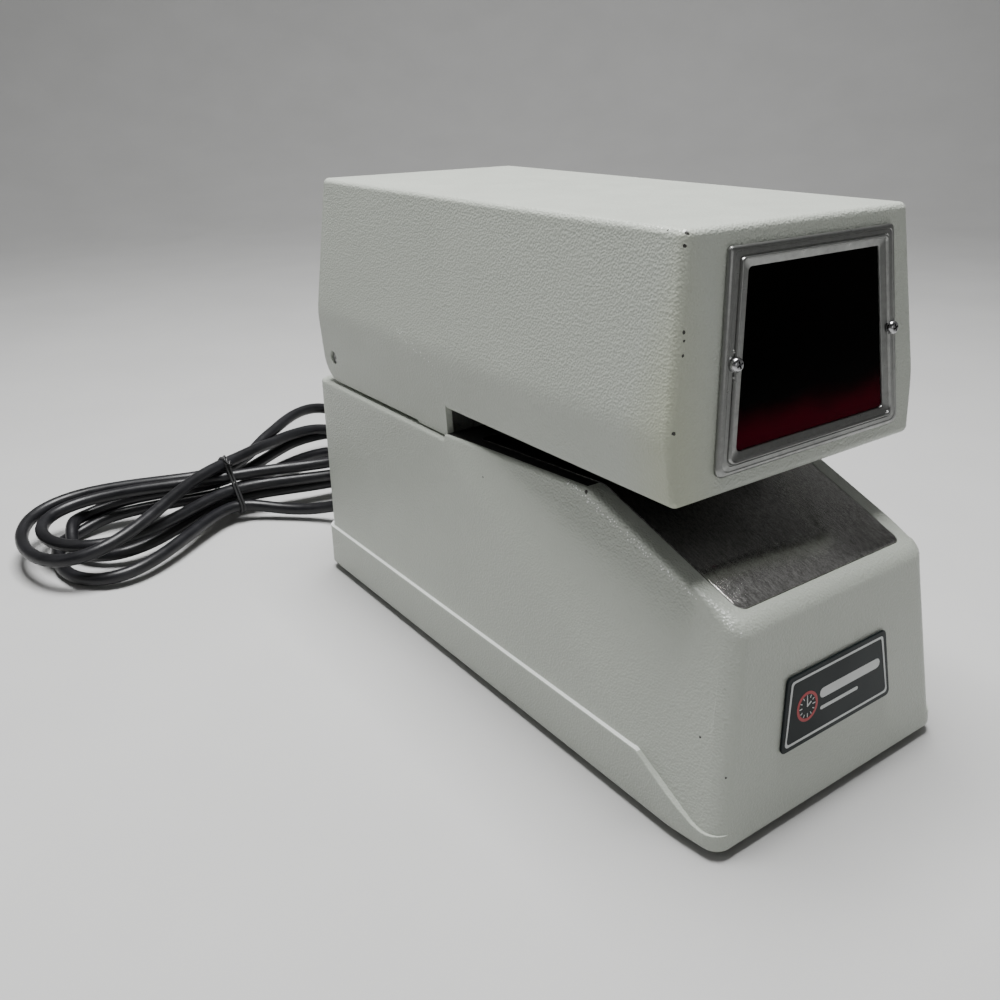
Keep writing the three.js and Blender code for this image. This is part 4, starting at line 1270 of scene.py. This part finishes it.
def make_nameplate():
    """A printed metal plate: a dark ground, a fine bright border, a small clock face and two plain bars."""
    def outline(grow, out, tightest):
        shape = face_shape(BASE_FACE, NAME, NAME_X, grow, (max(2.2 + grow, tightest),) * 2)
        return on_face(BASE_FACE, shape, out)

    edge = ((-0.1, 0.3), (0.0, 0.45), (0.0, 0.85), (-0.25, 1.08), (-0.6, 1.1), (-3.0, 1.1))
    pieces = [paint(solid("plate", [outline(*step, 1.2) for step in edge], 30), NAMEPLATE)]
    line = ((-1.9, 1.0), (-1.9, 1.17), (-2.75, 1.17), (-2.75, 1.0), (-1.9, 1.0))
    border = new_object("border", *loft([outline(*step, 1.4) for step in line]), 30)
    pieces.append(paint(border, SILVER_INK))
    middle = up_face(BASE_FACE, (NAME["low_z"] + NAME["top_z"]) / 2)
    clock = (NAME_X - 17.2, middle)
    pieces.append(flat_ring_print(clock, 5.6, 4.5, RED_INK))
    for k, turn in enumerate(turns(12)):
        reach = 3.3 if k % 3 else 2.9
        a = (clock[0] + reach * math.sin(turn), clock[1] + reach * math.cos(turn))
        b = (clock[0] + 4.1 * math.sin(turn), clock[1] + 4.1 * math.cos(turn))
        pieces.append(bar_print(a, b, 0.35, SILVER_INK))
    pieces.append(bar_print(clock, (clock[0] + 1.9, clock[1] + 1.1), 0.55, SILVER_INK))
    pieces.append(bar_print(clock, (clock[0], clock[1] + 2.9), 0.45, SILVER_INK))
    left, right = NAME_X - 8.5, NAME_X + 22.0
    pieces.append(bar_print((left, middle + 2.0), (right, middle + 2.0), 3.8, SILVER_INK))
    pieces.append(bar_print((left - 1.0, middle - 3.6), (left + 19, middle - 3.6), 1.3, SILVER_INK))
    stand_for(join_objects("nameplate_print", pieces), "base", "nameplate", "nameplate")


def bar_print(a, b, wide, material):
    """A printed bar with round ends, a hair proud of the nameplate."""
    along = Vector(b) - Vector(a)
    turn = math.atan2(along.y, along.x)
    shape = []
    for end, start in ((b, -math.pi / 2), (a, math.pi / 2)):
        for k in range(7):
            angle = turn + start + math.pi * k / 6
            shape.append((end[0] + wide / 2 * math.cos(angle), end[1] + wide / 2 * math.sin(angle)))
    return paint(solid("bar", [on_face(BASE_FACE, shape, out) for out in (1.0, 1.16)], 30), material)


def flat_ring_print(centre, outer, inner, material):
    steps = ((outer, 1.0), (outer, 1.16), (inner, 1.16), (inner, 1.0), (outer, 1.0))
    rings = [on_face(BASE_FACE, circle(centre, radius, 36), out) for radius, out in steps]
    return paint(new_object("ring", *loft(rings), 30), material)


# ------------------------------------------------------------------ throat plate
def make_throat_plate():
    """A strip of brushed stainless with rounded corners, bent over where the floor of the throat bends."""
    steps = ((-0.3, PLATE_THICK), (0.0, PLATE_THICK - 0.2), (0.0, 0.25), (-0.08, 0.08), (-0.3, 0.0))
    plate = closed_mesh("throat_strip", [plate_outline(grow, drop, 3.4 + grow) for grow, drop in steps], 30)
    cut(plate, box("slot", (-23.8, -57.8, 100), (23.8, -42.2, 120)), sharp=30)
    stand_for(paint(plate, BRUSHED), "base", "stainless", "throat_plate")


# ------------------------------------------------------------------ small outside pieces
def make_hinge_pins():
    for side, name in ((-1, "left"), (1, "right")):
        end = PIN_X - 0.9
        profile = [(0, 45.6), (2.6, 45.6), (3.0, 46.0), (3.0, end - 0.5), (2.85, end - 0.15), (2.5, end),
                   (0.9, end), (0.75, end - 0.25), (0, end - 0.35)]
        pin = lathe("pin_" + name, profile, "x", 32, (0, PIN_Y, PIN_Z))
        if side < 0:
            pin.data.transform(Matrix.Scale(-1, 4, (1, 0, 0)))
            pin.data.flip_normals()
        stand_for(paint(pin, STEEL), "base", "steel", "hinge_pin_" + name)


def make_feet():
    """Moulded rubber feet with a chamfered tread, a screw recess and a locating boss."""
    profile = [(0, 1.0), (2.3, 1.0), (2.3, 0.2), (2.6, 0.0), (6.9, 0.0), (7.35, 0.2), (7.6, 0.6), (7.5, 1.2),
               (6.9, 2.3), (6.6, 2.6), (4.0, 2.6), (4.0, 3.1), (0, 3.1)]
    for end, y in (("front", -FOOT_Y), ("rear", FOOT_Y)):
        for side, x in (("left", -FOOT_X), ("right", FOOT_X)):
            name = f"{end}_{side}"
            foot = paint(lathe("foot_shell_" + name, profile, "z", 40, (x, y, 0), 50), RUBBER)
            stand_for(foot, "base", "rubber", "foot_" + name)


def make_bottom_plate():
    """The sheet that closes the base, with its four screws and a row of vents."""
    node = "bottom_plate"
    low, high = (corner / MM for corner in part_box(node))
    shape = rounded_box(low.x, low.y, high.x, high.y, 4.0, 9)
    rings = []
    for inset, z in ((0.3, 5.4), (0.0, 5.2), (0.0, 3.9), (0.3, 3.6)):
        rings.append([(x - math.copysign(inset, x), y - math.copysign(inset, y), z) for x, y in shape])
    plate = solid("bottom_sheet", rings[::-1], 30)
    vents = [box("vent", (-18, -30 + 9 * k, 2), (18, -26.5 + 9 * k, 8)) for k in range(7)]
    pieces = [paint(cut(plate, *vents, sharp=30), STEEL)]
    for x in (-1, 1):
        for y in (-1, 1):
            screw = cross_screw("bottom_screw", CHROME, 2.8, 1.4)
            turn = Matrix.Rotation(math.pi, 4, "X")
            screw.data.transform(Matrix.Translation(Vector((x * 52, y * 104, 3.7)) * MM) @ turn)
            pieces.append(screw)
    stand_for(join_objects("bottom_cover", pieces), "base", "steel", node)


def rounded_box(x0, y0, x1, y1, radius, steps):
    points = []
    corners = ((x1, y0, -90), (x1, y1, 0), (x0, y1, 90), (x0, y0, 180))
    for x, y, start in corners:
        cx = x - math.copysign(radius, x - (x0 + x1) / 2)
        cy = y - math.copysign(radius, y - (y0 + y1) / 2)
        for k in range(steps):
            angle = math.radians(start + 90 * k / (steps - 1))
            points.append((cx + radius * math.cos(angle), cy + radius * math.sin(angle)))
    return points


def make_strain_relief():
    """A moulded bush: a flange against the casting, then a taper with bending grooves."""
    profile = [(3.7, -7.7), (5.5, -7.7), (5.8, -7.4), (5.8, 0.3), (8.1, 0.3), (8.5, 0.7), (8.5, 2.6),
               (8.1, 3.0)]
    grooves = 6
    first, last = 4.0, 23.2
    for k in range(grooves):
        start = mix(first, last, k / grooves)
        wide = (last - first) / grooves
        for share, drop in ((0.0, 0.0), (0.50, 0.0), (0.58, 0.2), (0.62, 0.75), (0.88, 0.75), (0.93, 0.2)):
            along = start + wide * share
            profile.append((mix(6.5, 5.0, (along - first) / (last - first)) - drop, along))
    profile += [(4.95, 23.4), (4.7, 23.9), (4.3, 24.0), (3.72, 24.0), (3.72, -7.7)]
    relief = lathe("relief", profile, "y", 40, (CORD_X, BASE_HALF + 0.3, CORD_Z), 40)
    return stand_for(paint(relief, RUBBER), "base", "cord", "strain_relief")


def make_plug():
    """A moulded two-blade plug with a round earth pin, finger grips on its sides and a short neck."""
    x, y, z = PLUG_PLACE
    sections = [(0.0, 4.6, 4.6, 1.0), (-0.6, 5.2, 5.2, 1.0), (-3.5, 5.6, 5.6, 1.0), (-6, 7.2, 6.8, 0.9),
                (-9.5, 11.4, 9.2, 0.6), (-12, 12.7, 10.2, 0.45), (-20, 12.9, 10.7, 0.4),
                (-33, 13.1, 10.8, 0.4), (-35.2, 12.9, 10.6, 0.4), (-36.0, 12.0, 9.8, 0.4)]
    rings = []
    for along, half_x, half_z, power in sections:
        ring = []
        for t in turns(48):
            c, s = math.cos(t), math.sin(t)
            out_x = half_x * math.copysign(abs(c) ** power, c)
            out_z = half_z * math.copysign(abs(s) ** power, s)
            ring.append((x + out_x, y + along, z + out_z))
        rings.append(ring)
    body = solid("plug_shell", rings, 40)
    grips = []
    for side in (-1, 1):
        for k in range(5):
            across, groove = x + side * 13.4, y - 14.5 - 3.6 * k
            low, high = [(across + 1.3 * way, groove + 0.7 * way, z + 6.5 * way) for way in (-1, 1)]
            grips.append(box("grip", low, high))
    pieces = [paint(cut(body, *grips, sharp=40), RUBBER)]
    for side in (-1, 1):
        outline = [(-35, -3.1), (-51.4, -3.1), (-53, -1.8), (-53, 1.8), (-51.4, 3.1), (-35, 3.1)]
        rings = [[(x + side * 6.35 + w, y + a, z - 1.5 + h) for a, h in outline] for w in (-0.75, 0.75)]
        blade = apply_modifiers(bevel(solid("blade", rings, 30), 0.2))
        pieces.append(paint(blade, BRASS))
    pin = lathe("earth", [(0, 0), (1.2, 0), (1.9, 0.5), (2.35, 1.6), (2.35, 21), (0, 21)], "y", 32,
                (x, y - 56, z + 6.4), 40)
    pieces.append(paint(pin, BRASS))
    return stand_for(join_objects("plug_whole", pieces), "base", "rubber", "plug_body")


def make_lock():
    """A chromed sleeve, and in it a brass cylinder with a keyway."""
    sleeve = [(3.5, 0.1), (8.6, 0.1), (8.9, 0.4), (8.9, 9.9), (10.2, 9.9), (10.4, 10.1), (10.35, 10.8),
              (9.9, 11.3), (8.6, 11.4), (7.0, 11.2), (6.5, 10.8), (6.5, 1.7), (3.5, 1.7), (3.5, 0.1)]
    body = paint(lathe("lock_sleeve", sleeve, "x", 56, LOCK_PLACE), CHROME)
    stand_for(body, "cover", "chrome", "lock_body")
    cylinder = [(0, -0.3), (2.9, -0.3), (2.9, 2.0), (5.9, 2.0), (5.9, 10.6), (5.5, 11.1), (0, 11.15)]
    barrel = lathe("lock_barrel", cylinder, "x", 48, LOCK_PLACE)
    x, y, z = LOCK_PLACE
    key = box("key", (x + 6, y - 0.65, z - 3.4), (x + 14, y + 0.65, z + 3.4))
    ward = box("ward", (x + 6, y + 0.4, z - 1.4), (x + 14, y + 1.3, z))
    stand_for(paint(cut(barrel, key, ward), BRASS), "lock", "brass", "lock_cylinder")


# ------------------------------------------------------------------ type wheels and other inside pieces
WHEEL_Y, WHEEL_Z, WHEEL_RADIUS = -50.0, 139.3, 18.0
WHEELS = (("month_wheel", "month"), ("day_wheel", "day"), ("year_wheel", "year"),
          ("hour_wheel", "hour"), ("minute_wheel", "type_drive"))
# A digit's strokes on a grid 2 wide and 4 high.
DIGIT_STROKES = {
    0: [(0, 0, 2, 0), (2, 0, 2, 4), (2, 4, 0, 4), (0, 4, 0, 0)],
    1: [(1, 0, 1, 4)],
    2: [(0, 4, 2, 4), (2, 4, 2, 2), (2, 2, 0, 2), (0, 2, 0, 0), (0, 0, 2, 0)],
    3: [(0, 4, 2, 4), (2, 4, 2, 0), (2, 0, 0, 0), (0, 2, 2, 2)],
    4: [(0, 4, 0, 2), (0, 2, 2, 2), (2, 4, 2, 0)],
    5: [(2, 4, 0, 4), (0, 4, 0, 2), (0, 2, 2, 2), (2, 2, 2, 0), (2, 0, 0, 0)],
    6: [(2, 4, 0, 4), (0, 4, 0, 0), (0, 0, 2, 0), (2, 0, 2, 2), (2, 2, 0, 2)],
    7: [(0, 4, 2, 4), (2, 4, 2, 0)],
    8: [(0, 0, 2, 0), (2, 0, 2, 4), (2, 4, 0, 4), (0, 4, 0, 0), (0, 2, 2, 2)],
    9: [(2, 0, 2, 4), (2, 4, 0, 4), (0, 4, 0, 2), (0, 2, 2, 2)],
}


def make_type_wheels():
    """Moulded wheels with twelve flats; every flat carries two raised, mirrored digits."""
    flats = 12
    for index, (node, body) in enumerate(WHEELS):
        centre = ((index - 2) * 8.5, WHEEL_Y, WHEEL_Z)
        rim = WHEEL_RADIUS - 0.9
        half = [(2.85, 3.9), (6.2, 3.9), (6.8, 3.3), (12.6, 3.3), (13.2, 3.9), (rim - 0.3, 3.9), (rim, 3.6)]
        profile = [(r, -along) for r, along in half] + half[::-1] + [(2.85, -3.9)]
        pieces = [paint(lathe("drum", profile, "x", flats * 4, centre, 25), TYPE_PLASTIC)]
        for flat in range(flats):
            number = flat + 1 if index < 4 else flat * 5
            for place, digit in enumerate(divmod(number, 10)):
                pieces.append(raised_digit(digit, centre, 1.9 - 3.7 * place, 2 * math.pi * flat / flats, rim))
        stand_for(join_objects("printed_" + node, pieces), body, "type_metal", node)


def raised_digit(digit, centre, across, turn, rim):
    """One digit on the wheel's rim. Its strokes are low bars that stand 0.7 mm proud."""
    verts, faces = [], []
    half = 0.24
    for x0, z0, x1, z1 in DIGIT_STROKES[digit]:
        corners = []
        low_x, high_x = sorted((x0 * 1.05, x1 * 1.05))
        low_z, high_z = sorted((z0, z1))
        for x, z in ((low_x - half, low_z - half), (high_x + half, low_z - half),
                     (high_x + half, high_z + half), (low_x - half, high_z + half)):
            corners.append((across - 1.05 + x, z - 2.0))
        for radius in (rim - 0.3, rim + 0.75):
            for x, z in corners:
                angle = turn + z / rim
                y, down = radius * math.sin(angle), radius * math.cos(angle)
                verts.append((centre[0] - x, centre[1] + y, centre[2] - down))
        start = len(verts) - 8
        for face in ((0, 1, 2, 3), (7, 6, 5, 4), (0, 4, 5, 1), (1, 5, 6, 2), (2, 6, 7, 3), (3, 7, 4, 0)):
            faces.append(tuple(start + i for i in face))
    return paint(plain_object("digit", verts, faces), TYPE_PLASTIC)


def make_guard():
    """The sheet under the head, its front corners rounded, with a stamped rim round the printing window."""
    y0, y1 = -104.8, 19.5
    shape = rounded_box(-57.8, y0, 57.8, y1, 6.5, 9)
    sheet = solid("guard_sheet", [[(x, y, z) for x, y in shape] for z in (GUARD_LOW_Z, GUARD_TOP_Z)], 30)
    tongue = box("tongue", (-20, 15, GUARD_LOW_Z), (20, 60, GUARD_TOP_Z))
    cut(sheet, tongue, operation="UNION", sharp=30)
    window = box("window", (-24.5, -58.5, 110), (24.5, -41.5, 125))
    cut(sheet, window, box("slot", (-4, 9.5, 110), (4, 20.5, 125)))
    apply_modifiers(bevel(sheet, 0.2), 30)
    rim = []
    for inset, z in ((0.0, 119.5), (0.0, 120.5), (0.9, 120.5), (0.9, 119.5)):
        outline = rounded_box(-25.6 + inset, -59.6 + inset, 25.6 - inset, -40.4 - inset, 1.5, 5)
        rim.append([(x, y, z) for x, y in outline])
    rim.append(rim[0])
    pieces = [paint(sheet, GUARD), paint(new_object("rim", *loft(rim), 30), GUARD)]
    stand_for(join_objects("guard_whole", pieces), "base", "steel", "throat_guard")


def finish_inside():
    """The other CAD nodes keep their shapes, get soft edges and a proper finish."""
    finishes = {
        STEEL: ["frame_left", "frame_right", "frame_tie_front", "frame_tie_rear", "ribbon_plate", "type_yoke",
                "idler_stud", "type_shaft", "solenoid_frame", "trigger_bracket", "trigger_lever", "lock_cam",
                "lock_catch", "hammer_head"],
        MOTOR: ["clock_motor"],
        CORE: ["transformer"],
        BRASS: ["drive_gear", "idler_gear", "motor_pinion"],
        CHROME: ["solenoid_plunger"],
        RUBBER: ["hammer_pad"],
        INK_RIBBON: ["ribbon"],
        BLACK_PLASTIC: ["ribbon_spool_left", "ribbon_spool_right", "microswitch", "terminal_block",
                        "board_capacitor"],
        BOARD: ["circuit_board"],
        COPPER: ["solenoid_coil"],
        SPRING: ["hammer_spring"],
    }
    for material, names in finishes.items():
        for name in names:
            node = NODES[name]
            paint(node, material)
            if name != "ribbon":
                bevel(node, 0.25)


# ------------------------------------------------------------------ finishes
PAINT = paint_material("grey_enamel", (0.42, 0.446, 0.397), (0.453, 0.479, 0.428))
# Flat black for the deck under the cover: painted shade.
DECK_PAINTED_SHADE = plastic_material("deck_painted_shade", (0.012, 0.012, 0.012), 0.7, 700, 0.05)
# Near-white enamel for the skirt's ledge: a painted highlight.
LEDGE_PAINTED_HIGHLIGHT = paint_material("ledge_painted_highlight", (0.84, 0.86, 0.83), (0.9, 0.92, 0.9))
STEEL = metal_material("zinc_steel", (0.42, 0.42, 0.42), 0.38, (1, 1, 0.12), 500)
CHROME = metal_material("chrome_plate", (0.46, 0.46, 0.47), 0.12, (1, 1, 1), 900, 0.01, 0.08)
BRASS = metal_material("brass", (0.55, 0.40, 0.17), 0.32, (1, 0.2, 1), 600)
BEZEL_METAL = metal_material("pressed_aluminium", (0.34, 0.345, 0.335), 0.3, (1, 1, 1), 420, 0.03, 0.3)
BRUSHED = brushed_material()
GUARD = metal_material("guard_steel", (0.12, 0.12, 0.12), 0.45, (1, 0.3, 1), 500)
MOTOR = metal_material("motor_can", (0.30, 0.30, 0.31), 0.35, (0.2, 1, 1), 500)
CORE = metal_material("core_plates", (0.13, 0.13, 0.14), 0.5, (0.05, 0.05, 3), 700, 0.15, 0.4)
COPPER = metal_material("copper_wire", (0.32, 0.12, 0.045), 0.42, (0.1, 0.1, 3.0), 900, 0.2, 0.35)
SPRING = metal_material("spring_steel", (0.30, 0.30, 0.31), 0.35, (0.1, 0.1, 3.0), 500, 0.3, 0.5)
RUBBER = plastic_material("black_rubber", (0.014, 0.014, 0.015), 0.6, 900)
BLACK_PLASTIC = plastic_material("black_plastic", (0.018, 0.019, 0.020), 0.42)
TYPE_PLASTIC = plastic_material("type_plastic", (0.52, 0.50, 0.44), 0.5)
INK_RIBBON = plastic_material("ink_ribbon", (0.012, 0.010, 0.022), 0.85, 1500, 0.08)
BOARD = plastic_material("circuit_board", (0.035, 0.11, 0.05), 0.4, 300)
NAMEPLATE = plastic_material("nameplate_ground", (0.007, 0.012, 0.013), 0.42, 600, 0.02,
                             Specular_IOR_Level=0.2)
SILVER_INK = plastic_material("silver_ink", (0.62, 0.64, 0.63), 0.35, 700, 0.02)
RED_INK = plastic_material("red_ink", (0.42, 0.03, 0.035), 0.4, 700, 0.02)
LENS = lens_material()


# ------------------------------------------------------------------ the whole scene
make_camera()
make_floor()
make_lights()
CORD, CORD_LINE = make_cord()
TIE = make_tie(CORD_LINE)
make_base()
make_throat_plate()
make_head()
make_bezel()
make_lens()
make_bezel_screws()
make_nameplate()
make_hinge_pins()
make_feet()
make_bottom_plate()
RELIEF = make_strain_relief()
PLUG = make_plug()
make_lock()
make_type_wheels()
make_guard()
finish_inside()
